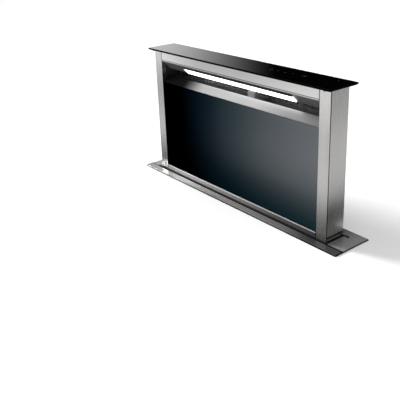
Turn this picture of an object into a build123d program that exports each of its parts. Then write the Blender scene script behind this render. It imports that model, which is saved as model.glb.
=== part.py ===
from build123d import *
from math import asin, cos, degrees, hypot, pi, radians, tan
import os

# Downdraft range hood: a tower that rises out of a slot behind the hob.
# Millimetres. +Z is up and the front is -Y. The origin is the middle of the
# tower's slot on the worktop's top face. The tower is drawn raised.

# Sheet and gaps
SHEET = 1.2  # steel sheet of the tower and the casing
CORNER_R = 5  # rounded corners of openings, flanges and boxes
SEAM = 0.3  # gap where two pieces of one body butt together
RUN = 0.3  # gap between pieces that move past each other
SHAFT_RUN = 0.05  # radial clearance of a shaft in its bearing

# Tower
TOWER_W = 760
TOWER_D = 68
TRAVEL = 415
CAP_STAND = 6  # underside of the cap above the worktop, tower lowered
TAIL = 150  # part of the tower that stays below the worktop when raised
STILE_W = 35
STILE_RETURN = 14
BAND_H = 33
SIDE_FLANGE = 12
FOOT_BAR_W = 12
FOOT_BAR_H = 18
CHEEK_DROP = 4  # top of the cheeks below the cap
BAND_FLANGE = 22
RAIL_TOP_LIP = 3

# Intake mouth, with a roof that slopes down to the slot
MOUTH_H = 70
ROOF_LIP = 1  # roof's front edge above the band's lower edge
ROOF_RUN = 44
ROOF_FLANGE = 13
LENS_L = 476
LENS_W = 32
LENS_T = 3
LENS_START = 10  # down the slope, from the roof's front edge

# Front panel
PANEL_GAP = 0.8
RAIL_TOP = 22  # top of the rail under the panel
PANEL_FOOT_GAP = 3.5
GLASS_T = 5
TRAY_D = 10
TRAY_INSET = 1
LEDGE_D = 23
LEDGE_RISE = 19
LEDGE_FLANGE = 11
PIVOT_BACK = 9  # pivot behind the glass's face
PIVOT_UP = 6  # pivot above the glass's lower edge
PIVOT_R = 1.8
PIVOT_BOSS = 8
CATCH_X = 65
CATCH_W = 26
CATCH_D = 15
CATCH_DROP = 27  # down from the roof

# Cap
CAP_LAP_END = 13.5
CAP_LAP_FRONT = 18
CAP_LAP_BACK = 20
CAP_TRAY_T = 2.5
CAP_TRAY_INSET = 2
CAP_GLASS_T = 4
CAP_CORNER_R = 3
BOARD_L = 150
BOARD_W = 30
BOARD_T = 1.4
BOARD_END_IN = 110  # in from the tower's end
BOARD_Y = 8
BUMPER_R = 5
BUMPER_H = 1.7
BUMPER_IN = 9  # in from the cap's front and back edges
BUMPER_END_IN = 23.5  # in from the cap's ends
GLASS_BEVEL = 0.8

# Filters
FILTER_Y = 1  # front face of the filters
FILTER_T = 12
FILTER_FLOOR = 32
FILTER_HEAD = 14  # from the filters up to the top of their frame
FRAME_RISE = 12  # top of the filter frame above the glass
FILTER_RIM = 14
FILTER_GAP = 6  # from the middle of the hood to each filter
FILTER_SIDE = 7
FILTER_FLOOR_D = 28
SLATS = 18
SLAT_W = 13
SLAT_T = 1
SLAT_TURN = 40
LATCH_W = 36
LATCH_H = 32
LATCH_T = 3
LATCH_RISE = 8  # tongue above the filter's rim
LATCH_LIP = 6
LATCH_TRAVEL = 5
KEEPER_W = 20

# Slot, seal and trim plate
TRIM_T = 4
TRIM_BEVEL = 2.2
TRIM_CORNER_R = 3
TRIM_LAP_END = 40
TRIM_LAP_FRONT = 15
TRIM_LAP_BACK = 20
SKIRT_T = 1.5
SKIRT_H = 20
SLOT_FRONT = 1.6
SLOT_BACK = 4.5
SLOT_END = 4.5
SEAL_GAP = 0.4
SEAL_PROUD = 1
SEAL_DROP = 3
SEAL_TAIL = 14

# Casing under the worktop
END_SPACE = 18.8
FACE_SPACE = 14.8
DRIVE_SPACE = 152  # under the tower's foot when it is down
CASE_FLANGE = 18
BEADS = 5  # pressed up the back sheet
BEAD_W = 24
BEAD_H = 3
BEAD_SLOPE = 45
BEAD_IN = 80  # in from the sheet's edges

# Guide rails and runners
RAIL_T = 1.5
RAIL_D = 10
RAIL_W = 36
RAIL_LIP = 6
RAIL_Y = 18
RAIL_TOP_GAP = 4
RAIL_FOOT = 30
RUNNER_PLATE_T = 3
RUNNER_H = 130
RUNNER_DROP = 15
SHOE_H = 40
SHOE_NECK = 16
RUNNER_INSET = 2  # plate's edges inside the rail's

# Belt drive
BELT_PITCH = 5
PULLEY_TEETH = 15
TOOTH_FLANK = 75
BELT_T = 1.6
BELT_W = 8
BELT_X = 9  # middle of the belt outside the tower's end
PULLEY_Y = -20
IDLER_DROP = 20  # idler's axle below the skirt
SHAFT_UP = 35  # cross shaft above the casing's base
SHAFT_R = 5
FLANGE_T = 1
FLANGE_LIP = 2
PIN_R = 3
BLOCK_W = 12
BLOCK_R = 14
BLOCK_IN = 12  # bearing block inboard of the tower's end
CLAMP_H = 14
CLAMP_W = 12
CLAMP_L = 16.5
GEARBOX_L = 64
GEARBOX_R = 24
MOTOR_R = 27
MOTOR_L = 118
MOTOR_Y = -2
MOTOR_UP = 55  # motor's axis above the cross shaft

# Blower box, scroll and impeller
BOX_W = 400
BOX_D = 200
BOX_H = 340
DUCT_OPENING_W = 300
DUCT_OPENING_H = 130
DUCT_OPENING_UP = 250
FAN_X = -40
FAN_UP = 145
FAN_R = 80
FAN_L = 92
BLADES = 30
BLADE_T = 1
BLADE_DEPTH = 14
BLADE_TURN = 70
FAN_DISC_T = 2
HUB_R = 12
HUB_L = 12
FAN_SHAFT_R = 4
SCROLL_W = 104
SCROLL_T = 1.5
SCROLL_R = 96
SCROLL_STEP = 13
SCROLL_INLET_R = 68
SCROLL_EXIT_H = 100
SCROLL_EXIT_X = 150
SCROLL_LEG_W = 20
BLOWER_MOTOR_R = 40
BLOWER_MOTOR_L = 46
ARM_W = 12
ARM_T = 3
ARM_R = 82
LID_T = 1.2
LID_LIP = 8
LID_FIELD_IN = 40  # pressed field in from the lid's edges

# Outlet with its two non-return flaps
DUCT_R = 75
DUCT_T = 1
DUCT_L = 50
DUCT_FLANGE = 170
FLAP_X = 14  # flaps outside the box's side
FLAP_T = 1.5
FLAP_GAP = 1.4
KNUCKLE_INSET = 7
FLAP_KNUCKLE_R = 3.2
FLAP_PIN_R = 1.5
STOP_W = 4

# Electrics
CONTROL_W = 150
CONTROL_H = 180
CONTROL_D = 60
CONTROL_END_IN = 20  # in from the casing's end
CONTROL_TOP = -120
GLAND_R = 9
GLAND_L = 24
GLAND_BORE_R = 4

# Fixings
SCREW_R = 4
SCREW_H = 2.4
CASE_SCREWS = 5
CASE_SCREW_IN = 67.5  # end screws in from the casing's top and base
BRACKET_W = 40
BRACKET_REACH = 36
BRACKET_H = 50
BRACKET_T = 2
BRACKET_DROP = 12  # bracket's shelf below the worktop
WORKTOP_T = 30
CLAMP_SCREW_R = 3
CLAMP_SCREW_L = 24
CLAMP_PAD_R = 8
CLAMP_PAD_H = 4
LEG_STUD_R = 4
LEG_STUD_L = 22
LEG_END_IN = 50  # rear legs in from the casing's ends
LEG_Y = 30
BOX_LEG_X = 170
BOX_LEG_IN = 15  # front legs behind the box's front
LEG_PAD_R = 17
LEG_PAD_H = 8

# Places that follow from the sizes
FRONT = -TOWER_D / 2
BACK = TOWER_D / 2
END = TOWER_W / 2
INNER = END - STILE_W
RISE = TRAVEL + CAP_STAND
FOOT = -TAIL
BAND_Z = RISE - BAND_H
GLASS_TOP = BAND_Z - MOUTH_H
LEDGE_Z = GLASS_TOP + SHEET  # front edge of the ledge
GLASS_FOOT = RAIL_TOP + PANEL_FOOT_GAP
PANEL_END = INNER - PANEL_GAP
PIVOT_Y = FRONT + PIVOT_BACK
PIVOT_Z = GLASS_FOOT + PIVOT_UP
CASE_X = END + END_SPACE  # inner face of the casing's end
CASE_Y = BACK + FACE_SPACE  # inner face of the casing's back
CASE_W = 2 * (CASE_X + SHEET)
CASE_FACE = CASE_Y + SHEET
CASE_DEPTH = TAIL + FOOT_BAR_H + TRAVEL + DRIVE_SPACE
BASE_Z = -CASE_DEPTH
BOX_FLOOR = BASE_Z - SHEET
BOX_TOP = BOX_FLOOR + BOX_H
BOX_FRONT = -CASE_FACE - BOX_D
IDLER_Z = -SKIRT_H - IDLER_DROP
SHAFT_Z = BASE_Z + SHAFT_UP
MOTOR_Z = SHAFT_Z + MOTOR_UP
FAN_Z = BASE_Z + FAN_UP
FAN_Y = -CASE_FACE - BOX_D / 2
PULLEY_R = BELT_PITCH * PULLEY_TEETH / (2 * pi)
BELT_IN_R = PULLEY_R - BELT_T / 2
BELT_OUT_R = PULLEY_R + BELT_T / 2
os.makedirs("parts", exist_ok=True)


def keep(builder, name):
    """Label a finished piece and write it under its own name."""
    builder.part.label = name
    export_step(builder.part, f"parts/{name}.step")


def bent(plane, *points, gauge=SHEET):
    """Section of a bent sheet. The points follow one face, with the metal on their left."""
    with BuildSketch(plane) as section:
        with BuildLine():
            Polyline(*points)
            offset(amount=gauge, side=Side.LEFT)
        make_face()
    return section.sketch


def pressed(places, width, length, face, gauge=SHEET):
    """Press sloping fields outwards in the sheet in hand, which leaves a hollow behind each."""
    wall = 2 * gauge * tan(radians(45 - BEAD_SLOPE / 2))
    for plane, inset, mode in ((face, 0, Mode.ADD), (face.offset(-gauge), wall, Mode.SUBTRACT)):
        with BuildSketch(plane) as field:
            with Locations(*places):
                Rectangle(width - inset, length - inset)
        extrude(field.sketch, amount=BEAD_H, taper=BEAD_SLOPE, mode=mode)


def left_of(right):
    """The left-hand copy of a right-hand piece."""
    with BuildPart() as left:
        mirror(right.part, about=Plane.YZ)
    return left


def pair_of(right):
    """A right-hand piece and its left-hand copy as one group."""
    with BuildPart() as both:
        add(right.part)
        mirror(right.part, about=Plane.YZ)
    return both


# Trim plate: bevelled plate with the tower's slot, a skirt that drops into the cut-out, and a
# shallow rebate over the casing's upper edges
trim_front = -CASE_FACE - TRIM_LAP_FRONT
trim_back = CASE_FACE + TRIM_LAP_BACK
trim_end = CASE_X + SHEET + TRIM_LAP_END
slot_end = END + SLOT_END
slot_front = FRONT - SLOT_FRONT
slot_back = BACK + SLOT_BACK
with BuildPart() as worktop_trim:
    with BuildSketch():
        with Locations((0, (trim_front + trim_back) / 2)):
            Rectangle(2 * trim_end, trim_back - trim_front)
    extrude(amount=TRIM_T)
    fillet(worktop_trim.edges().filter_by(Axis.Z), TRIM_CORNER_R)
    chamfer(worktop_trim.faces().sort_by(Axis.Z)[-1].edges(), TRIM_BEVEL)
    with BuildSketch():
        Rectangle(CASE_W + 2 * SEAM, 2 * CASE_FACE + 2 * SEAM)
        Rectangle(2 * CASE_X, 2 * CASE_Y, mode=Mode.SUBTRACT)
    extrude(amount=SEAM, mode=Mode.SUBTRACT)
    with BuildSketch():
        Rectangle(2 * CASE_X, 2 * CASE_Y)
        Rectangle(2 * (CASE_X - SKIRT_T), 2 * (CASE_Y - SKIRT_T), mode=Mode.SUBTRACT)
    extrude(amount=-SKIRT_H)
    with BuildSketch():
        with Locations((0, (slot_front + slot_back) / 2)):
            Rectangle(2 * slot_end, slot_back - slot_front)
    extrude(amount=TRIM_T, mode=Mode.SUBTRACT)
keep(worktop_trim, "worktop_trim")

# Slot seals: two L-shaped rubber strips that meet at opposite corners, each with a tail on the plate
seal_y0 = FRONT - SEAL_GAP
seal_y1 = BACK + SEAL_GAP
seal_x = END + SEAL_GAP
with BuildPart() as slot_seals:
    with BuildSketch(Plane.XY.offset(-SEAL_DROP)):
        with BuildLine():
            Polyline(
                (-slot_end, slot_front),
                (seal_x - SEAM, slot_front),
                (seal_x - SEAM, seal_y0),
                (-seal_x, seal_y0),
                (-seal_x, seal_y1),
                (-slot_end, seal_y1),
                (-slot_end, slot_front),
            )
        make_face()
        with BuildLine():
            Polyline(
                (slot_end, slot_back),
                (-slot_end, slot_back),
                (-slot_end, seal_y1 + SEAM),
                (seal_x, seal_y1 + SEAM),
                (seal_x, slot_front),
                (slot_end, slot_front),
                (slot_end, slot_back),
            )
        make_face()
    extrude(amount=SEAL_DROP + TRIM_T + SEAL_PROUD)
    with BuildSketch(Plane.XY.offset(TRIM_T)):
        with Locations((-slot_end - SEAL_TAIL / 2, slot_front + SLOT_END / 2)):
            Rectangle(SEAL_TAIL, SLOT_END)
        with Locations((slot_end + SEAL_TAIL / 2, slot_back - SLOT_END / 2)):
            Rectangle(SEAL_TAIL, SLOT_END)
    extrude(amount=SEAL_PROUD)
keep(slot_seals, "slot_seals")

# Casing: front and back sheets, and end sheets bent to channels
opening_place = (0, BASE_Z + DUCT_OPENING_UP)
with BuildPart() as casing_front:
    with BuildSketch(Plane.XZ.offset(CASE_Y)):
        with Locations((0, -CASE_DEPTH / 2)):
            Rectangle(CASE_W, CASE_DEPTH)
        with Locations(opening_place):
            RectangleRounded(DUCT_OPENING_W, DUCT_OPENING_H, CORNER_R, mode=Mode.SUBTRACT)
    extrude(amount=SHEET)
keep(casing_front, "casing_front")

with BuildPart() as casing_back:
    with BuildSketch(Plane.XZ.offset(-CASE_Y)):
        with Locations((0, -CASE_DEPTH / 2)):
            Rectangle(CASE_W, CASE_DEPTH)
    extrude(amount=-SHEET)
    bead_gap = (CASE_W - 2 * BEAD_IN - BEAD_W) / (BEADS - 1)
    bead_places = [((i - (BEADS - 1) / 2) * bead_gap, CASE_DEPTH / 2) for i in range(BEADS)]
    back_face = Plane((0, CASE_FACE, 0), x_dir=(1, 0, 0), z_dir=(0, 1, 0))
    pressed(bead_places, BEAD_W, CASE_DEPTH - 2 * BEAD_IN, back_face)
keep(casing_back, "casing_back")

with BuildPart() as casing_end_r:
    case_end_path = (
        (CASE_X - CASE_FLANGE, -CASE_Y),
        (CASE_X + SHEET, -CASE_Y),
        (CASE_X + SHEET, CASE_Y),
        (CASE_X - CASE_FLANGE, CASE_Y),
    )
    extrude(bent(Plane.XY.offset(BASE_Z), *case_end_path), amount=CASE_DEPTH - SKIRT_H - SEAM)
    with BuildSketch(Plane.XY.offset(-SKIRT_H - SEAM)):
        with Locations((CASE_X + SHEET / 2, 0)):
            Rectangle(SHEET, 2 * CASE_Y)
    extrude(amount=SKIRT_H + SEAM)
keep(pair_of(casing_end_r), "casing_ends")

with BuildPart() as casing_base:
    with BuildSketch(Plane.XY.offset(BOX_FLOOR)):
        Rectangle(CASE_W, 2 * CASE_FACE)
    extrude(amount=SHEET)
keep(casing_base, "casing_base")

# Guide rails: lipped channels up each end of the casing
rail_in = CASE_X - RAIL_D
rail_y0 = RAIL_Y - RAIL_W / 2
rail_y1 = RAIL_Y + RAIL_W / 2
rail_top = -SKIRT_H - RAIL_TOP_GAP
with BuildPart() as rail_r:
    rail_path = (
        (rail_in, rail_y0 + RAIL_LIP),
        (rail_in, rail_y0),
        (CASE_X, rail_y0),
        (CASE_X, rail_y1),
        (rail_in, rail_y1),
        (rail_in, rail_y1 - RAIL_LIP),
    )
    rail_foot = BASE_Z + RAIL_FOOT
    extrude(bent(Plane.XY.offset(rail_foot), *rail_path, gauge=RAIL_T), amount=rail_top - rail_foot)
keep(pair_of(rail_r), "guide_rails")

# Runners: a plate on each end of the tower with two T-headed shoes that slide in the rail
head_x0 = rail_in + RAIL_T + RUN
head_x1 = CASE_X - RAIL_T - RUN
head_w = RAIL_W - 2 * (RAIL_T + RUN)
with BuildPart() as runner_r:
    with BuildSketch(Plane.XY.offset(-RUNNER_DROP)):
        with Locations((END + RUNNER_PLATE_T / 2, RAIL_Y - RUNNER_INSET)):
            Rectangle(RUNNER_PLATE_T, RAIL_W - 2 * RUNNER_INSET)
    extrude(amount=-RUNNER_H)
    for top in (-RUNNER_DROP, -RUNNER_DROP - RUNNER_H + SHOE_H):
        with BuildSketch(Plane.XY.offset(top)):
            with Locations(((END + head_x1) / 2, RAIL_Y)):
                Rectangle(head_x1 - END, SHOE_NECK)
            with Locations(((head_x0 + head_x1) / 2, RAIL_Y)):
                Rectangle(head_x1 - head_x0, head_w)
        extrude(amount=-SHOE_H)
keep(pair_of(runner_r), "runners")

# Toothed belts: one loop at each end, over an idler near the top and a drive pulley at the foot
belt_x0 = END + BELT_X - BELT_W / 2
with BuildPart() as belt_r:
    with BuildSketch(Plane.YZ.offset(belt_x0)):
        with Locations((PULLEY_Y, (IDLER_Z + SHAFT_Z) / 2)):
            SlotCenterToCenter(IDLER_Z - SHAFT_Z, 2 * BELT_OUT_R, rotation=90)
            SlotCenterToCenter(IDLER_Z - SHAFT_Z, 2 * BELT_IN_R, rotation=90, mode=Mode.SUBTRACT)
    extrude(amount=BELT_W)
keep(pair_of(belt_r), "belts")

# Pulleys: flanged wheels just wider than the belt
pulley_w = BELT_W + 2 * RUN
pulley_x0 = belt_x0 - RUN
pulley_rim_r = BELT_IN_R - RUN
flange_r = BELT_OUT_R + FLANGE_LIP


def wheel_at(z, bore_r, teeth):
    """A flanged pulley on the right-hand belt, with tooth gaps where it drives."""
    with BuildPart(mode=Mode.PRIVATE) as wheel:
        with BuildSketch(Plane.YZ.offset(pulley_x0)):
            with Locations((PULLEY_Y, z)):
                Circle(pulley_rim_r)
                with PolarLocations(pulley_rim_r, teeth):
                    Trapezoid(BELT_PITCH / 2, BELT_PITCH / 2, TOOTH_FLANK, rotation=90, mode=Mode.SUBTRACT)
        extrude(amount=pulley_w)
        for x in (pulley_x0 - FLANGE_T, pulley_x0 + pulley_w):
            with BuildSketch(Plane.YZ.offset(x)):
                with Locations((PULLEY_Y, z)):
                    Circle(flange_r)
            extrude(amount=FLANGE_T)
        with BuildSketch(Plane.YZ.offset(pulley_x0 - FLANGE_T)):
            with Locations((PULLEY_Y, z)):
                Circle(bore_r)
        extrude(amount=pulley_w + 2 * FLANGE_T, mode=Mode.SUBTRACT)
    return wheel


keep(pair_of(wheel_at(SHAFT_Z, SHAFT_R, PULLEY_TEETH)), "drive_pulleys")
keep(pair_of(wheel_at(IDLER_Z, PIN_R + SHAFT_RUN, PULLEY_TEETH)), "idler_pulleys")

# Idler pins: shouldered pins riveted to the casing's ends
pin_head_x = pulley_x0 - FLANGE_T - RUN
with BuildPart() as idler_pin_r:
    with BuildSketch(Plane.YZ.offset(pin_head_x)):
        with Locations((PULLEY_Y, IDLER_Z)):
            Circle(PIN_R)
    extrude(amount=CASE_X - pin_head_x)
    with BuildSketch(Plane.YZ.offset(pin_head_x)):
        with Locations((PULLEY_Y, IDLER_Z)):
            Circle(PIN_R + FLANGE_LIP)
    extrude(amount=-SHEET)
    with BuildSketch(Plane.YZ.offset(pulley_x0 + pulley_w + FLANGE_T + RUN)):
        with Locations((PULLEY_Y, IDLER_Z)):
            Circle(PIN_R + FLANGE_LIP)
    extrude(amount=CASE_X - pulley_x0 - pulley_w - FLANGE_T - RUN)
keep(pair_of(idler_pin_r), "idler_pins")

# Cross shaft and its two bearing blocks on the casing's base
with BuildPart() as cross_shaft:
    with BuildSketch(Plane.YZ):
        with Locations((PULLEY_Y, SHAFT_Z)):
            Circle(SHAFT_R)
    extrude(amount=CASE_X - 2 * RUN, both=True)
keep(cross_shaft, "cross_shaft")

with BuildPart() as bearing_r:
    with BuildSketch(Plane.YZ.offset(END - BLOCK_IN - BLOCK_W)):
        with Locations((PULLEY_Y, SHAFT_Z)):
            Circle(BLOCK_R)
        with Locations((PULLEY_Y, (SHAFT_Z + BASE_Z) / 2)):
            Rectangle(2 * BLOCK_R, SHAFT_Z - BASE_Z)
        with Locations((PULLEY_Y, BASE_Z + SHEET * 2)):
            Rectangle(4 * BLOCK_R, SHEET * 4)
        with Locations((PULLEY_Y, SHAFT_Z)):
            Circle(SHAFT_R + SHAFT_RUN, mode=Mode.SUBTRACT)
    extrude(amount=BLOCK_W)
keep(pair_of(bearing_r), "bearing_blocks")

# Belt clamps: blocks on the tower's foot frame that grip the front run of each belt
with BuildPart() as belt_clamp_r:
    run_y = PULLEY_Y - PULLEY_R
    clamp_top = FOOT - (FOOT_BAR_H - CLAMP_H) / 2
    with BuildSketch(Plane.XY.offset(clamp_top)):
        with Locations((END + CLAMP_L / 2, run_y)):
            Rectangle(CLAMP_L, CLAMP_W)
        with Locations((END + BELT_X, run_y)):
            Rectangle(BELT_W + 2 * RUN, BELT_T + 2 * RUN, mode=Mode.SUBTRACT)
    extrude(amount=-CLAMP_H)
keep(pair_of(belt_clamp_r), "belt_clamps")

# Lift drive: a parallel-shaft gearbox on the cross shaft, with its motor above
with BuildPart() as lift_gearbox:
    with BuildSketch(Plane.YZ):
        with Locations((PULLEY_Y, SHAFT_Z)):
            Circle(GEARBOX_R)
        with Locations((MOTOR_Y, MOTOR_Z)):
            Circle(MOTOR_R + SHEET * 2)
        make_hull()
        with Locations((PULLEY_Y, (SHAFT_Z + BASE_Z) / 2)):
            Rectangle(2 * GEARBOX_R, SHAFT_Z - BASE_Z)
        with Locations((PULLEY_Y, SHAFT_Z)):
            Circle(SHAFT_R + SHAFT_RUN, mode=Mode.SUBTRACT)
    extrude(amount=GEARBOX_L / 2, both=True)
keep(lift_gearbox, "lift_gearbox")

with BuildPart() as lift_motor:
    with BuildSketch(Plane.YZ.offset(GEARBOX_L / 2)):
        with Locations((MOTOR_Y, MOTOR_Z)):
            Circle(MOTOR_R)
    extrude(amount=MOTOR_L)
    chamfer(lift_motor.faces().sort_by(Axis.X)[-1].edges(), CORNER_R)
    with BuildSketch(Plane.YZ.offset(GEARBOX_L / 2 + MOTOR_L)):
        with Locations((MOTOR_Y, MOTOR_Z)):
            Circle(MOTOR_R / 3)
    extrude(amount=SHAFT_R)
keep(lift_motor, "lift_motor")

# Blower box: sheet shell bolted to the casing's front, open at its own front for the lid
box_mid = (0, FAN_Y, (BOX_FLOOR + BOX_TOP) / 2)
out_z = FAN_Z + SCROLL_R + 3 * SCROLL_STEP - SCROLL_EXIT_H / 2
with BuildPart() as blower_box:
    with Locations(box_mid):
        Box(BOX_W, BOX_D, BOX_H)
    offset(amount=-SHEET, openings=blower_box.faces().sort_by(Axis.Y)[0])
    with BuildSketch(Plane.XZ.offset(CASE_FACE)):
        with Locations(opening_place):
            RectangleRounded(DUCT_OPENING_W, DUCT_OPENING_H, CORNER_R)
    extrude(amount=SHEET, mode=Mode.SUBTRACT)
    with BuildSketch(Plane.YZ.offset(BOX_W / 2)):
        with Locations((FAN_Y, out_z)):
            Circle(DUCT_R - DUCT_T)
    extrude(amount=-SHEET, mode=Mode.SUBTRACT)
keep(blower_box, "blower_box")

with BuildPart() as blower_lid:
    with Locations((0, BOX_FRONT - LID_T / 2, box_mid[2])):
        Box(BOX_W, LID_T, BOX_H)
    with BuildSketch(Plane.XZ.offset(-BOX_FRONT)):
        with Locations((0, box_mid[2])):
            Rectangle(BOX_W - 2 * (SHEET + SEAM), BOX_H - 2 * (SHEET + SEAM))
            Rectangle(BOX_W - 4 * SHEET - 2 * SEAM, BOX_H - 4 * SHEET - 2 * SEAM, mode=Mode.SUBTRACT)
    extrude(amount=-LID_LIP)
    lid_face = Plane((0, BOX_FRONT - LID_T, box_mid[2]), x_dir=(1, 0, 0), z_dir=(0, -1, 0))
    pressed([(0, 0)], BOX_W - 2 * LID_FIELD_IN, BOX_H - 2 * LID_FIELD_IN, lid_face, gauge=LID_T)
keep(blower_lid, "blower_lid")

# Scroll: a four-centre volute round the wheel, open at both inlets, lofted to the round outlet
exit_top = SCROLL_R + 3 * SCROLL_STEP
exit_low = exit_top - SCROLL_EXIT_H
exit_x = SCROLL_EXIT_X - FAN_X


def volute(grow):
    """The scroll's outline, grown outwards by the given wall."""
    tongue_r = SCROLL_R + grow
    bottom_r = tongue_r + SCROLL_STEP
    top_r = bottom_r + SCROLL_STEP
    low = exit_low - grow
    start = degrees(asin(low / tongue_r))
    top = SCROLL_STEP + top_r
    with BuildLine() as line:
        tongue = CenterArc((0, 0), tongue_r, start, -90 - start)
        CenterArc((0, SCROLL_STEP), bottom_r, -90, -90)
        CenterArc((SCROLL_STEP, SCROLL_STEP), top_r, 180, -90)
        Polyline((SCROLL_STEP, top), (exit_x, top), (exit_x, low), tongue @ 0)
    return line.line


fan_front = Plane((FAN_X, FAN_Y + SCROLL_W / 2, FAN_Z), x_dir=(1, 0, 0), z_dir=(0, -1, 0))
with BuildPart() as scroll_housing:
    with BuildSketch(fan_front.offset(-SCROLL_T)):
        make_face(volute(SCROLL_T))
        for x in (-SCROLL_R / 2, SCROLL_R / 2):
            with Locations((x, (BASE_Z - FAN_Z - SCROLL_R / 2) / 2)):
                Rectangle(SCROLL_LEG_W, FAN_Z - BASE_Z - SCROLL_R / 2)
    extrude(amount=SCROLL_W + 2 * SCROLL_T)
    with BuildSketch(fan_front):
        make_face(volute(0))
    extrude(amount=SCROLL_W, mode=Mode.SUBTRACT)
    with BuildSketch(fan_front.offset(-SCROLL_T)):
        Circle(SCROLL_INLET_R)
    extrude(amount=SCROLL_W + 2 * SCROLL_T, mode=Mode.SUBTRACT)
keep(scroll_housing, "scroll_housing")

# Outlet transition: from the scroll's square mouth to the round duct
trans_end = BOX_W / 2 - SHEET
mouth = Plane((SCROLL_EXIT_X, FAN_Y, out_z), x_dir=(0, 1, 0), z_dir=(1, 0, 0))
with BuildPart() as outlet_transition:
    for grow, mode in ((SCROLL_T, Mode.ADD), (0, Mode.SUBTRACT)):
        with BuildSketch(mouth):
            RectangleRounded(SCROLL_W + 2 * grow, SCROLL_EXIT_H + 2 * grow, CORNER_R + grow)
        with BuildSketch(mouth.offset(trans_end - SCROLL_EXIT_X)):
            Circle(DUCT_R - DUCT_T + grow)
        loft(ruled=True, mode=mode)
keep(outlet_transition, "outlet_transition")

# Blower motor on three arms across the lid-side inlet


def fan_plane(y):
    """Upright plane on the fan's axis, facing the front."""
    return Plane((FAN_X, y, FAN_Z), x_dir=(1, 0, 0), z_dir=(0, -1, 0))


motor_face = FAN_Y - SCROLL_W / 2 - SCROLL_T
motor_bore_r = FAN_SHAFT_R + SHAFT_RUN
with BuildPart() as blower_motor:
    with BuildSketch(Plane((FAN_X, motor_face, FAN_Z))) as can:
        with Locations((motor_bore_r, 0)):
            Rectangle(BLOWER_MOTOR_R - motor_bore_r, BLOWER_MOTOR_L, align=Align.MIN)
        chamfer(can.vertices().group_by(Axis.Y)[-1].sort_by(Axis.X)[-1], CORNER_R)
    revolve(axis=Axis((FAN_X, motor_face, FAN_Z), (0, 1, 0)))
    with BuildSketch(fan_plane(motor_face)):
        Circle(BLOWER_MOTOR_R)
        with PolarLocations(ARM_R / 2, 3, 90):
            Rectangle(ARM_R, ARM_W)
    extrude(amount=ARM_T)
keep(blower_motor, "blower_motor")

# Impeller: forward-curved blades on a middle disc, with a ring at each end
blade_in_r = FAN_R - BLADE_DEPTH
fan_back = FAN_Y + FAN_L / 2
with BuildPart() as impeller:
    with BuildSketch(fan_plane(fan_back)):
        with PolarLocations(0, BLADES):
            with BuildLine():
                JernArc((blade_in_r, 0), (1, 0), BLADE_DEPTH, -BLADE_TURN)
                offset(amount=BLADE_T, side=Side.RIGHT)
            make_face()
    extrude(amount=FAN_L)
    for y in (fan_back, fan_back - FAN_L + FAN_DISC_T):
        with BuildSketch(fan_plane(y)):
            Circle(FAN_R)
            Circle(blade_in_r, mode=Mode.SUBTRACT)
        extrude(amount=FAN_DISC_T)
    with BuildSketch(fan_plane(FAN_Y + FAN_DISC_T / 2)):
        Circle(FAN_R)
    extrude(amount=FAN_DISC_T)
    with BuildSketch(fan_plane(FAN_Y + HUB_L / 2)):
        Circle(HUB_R)
    extrude(amount=HUB_L)
    with BuildSketch(fan_plane(FAN_Y + HUB_L / 2)):
        Circle(FAN_SHAFT_R)
    extrude(amount=HUB_L, mode=Mode.SUBTRACT)
keep(impeller, "impeller")

shaft_back = FAN_Y + HUB_L / 2
shaft_front = motor_face + ARM_T
with BuildPart() as fan_shaft:
    with BuildSketch(fan_plane(shaft_back)):
        Circle(FAN_SHAFT_R)
    extrude(amount=shaft_back - shaft_front)
keep(fan_shaft, "fan_shaft")

# Outlet: flanged collar with a stop ring, and two half-round flaps on one upright pin


def duct_plane(x):
    """Upright plane across the outlet duct, facing the end of the duct."""
    return Plane((x, FAN_Y, out_z), x_dir=(0, 1, 0), z_dir=(1, 0, 0))


box_side = BOX_W / 2
flap_face = box_side + FLAP_X
pin_x = flap_face + FLAP_T / 2
duct_in_r = DUCT_R - DUCT_T
with BuildPart() as outlet_collar:
    with BuildSketch(duct_plane(box_side)):
        RectangleRounded(DUCT_FLANGE, DUCT_FLANGE, CORNER_R)
        Circle(duct_in_r, mode=Mode.SUBTRACT)
    extrude(amount=SHEET)
    with BuildSketch(duct_plane(box_side)):
        Circle(DUCT_R)
        Circle(duct_in_r, mode=Mode.SUBTRACT)
    extrude(amount=DUCT_L)
    with BuildSketch(duct_plane(flap_face - RUN - FLAP_T)):
        Circle(duct_in_r)
        Circle(duct_in_r - STOP_W, mode=Mode.SUBTRACT)
    extrude(amount=FLAP_T)
    with BuildSketch(Plane((pin_x, FAN_Y, out_z - DUCT_R))):
        Circle(FLAP_PIN_R)
    extrude(amount=2 * DUCT_R, mode=Mode.SUBTRACT)
keep(outlet_collar, "outlet_collar")

with BuildPart() as flap_pin:
    with BuildSketch(Plane((pin_x, FAN_Y, out_z - DUCT_R))):
        Circle(FLAP_PIN_R)
    extrude(amount=2 * DUCT_R)
keep(flap_pin, "flap_pin")

flap_r = duct_in_r - FLAP_GAP
flap_edge = FLAP_KNUCKLE_R + RUN  # straight edge of a flap, from the pin's axis
knuckle_h = (flap_r - KNUCKLE_INSET) / 2


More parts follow.
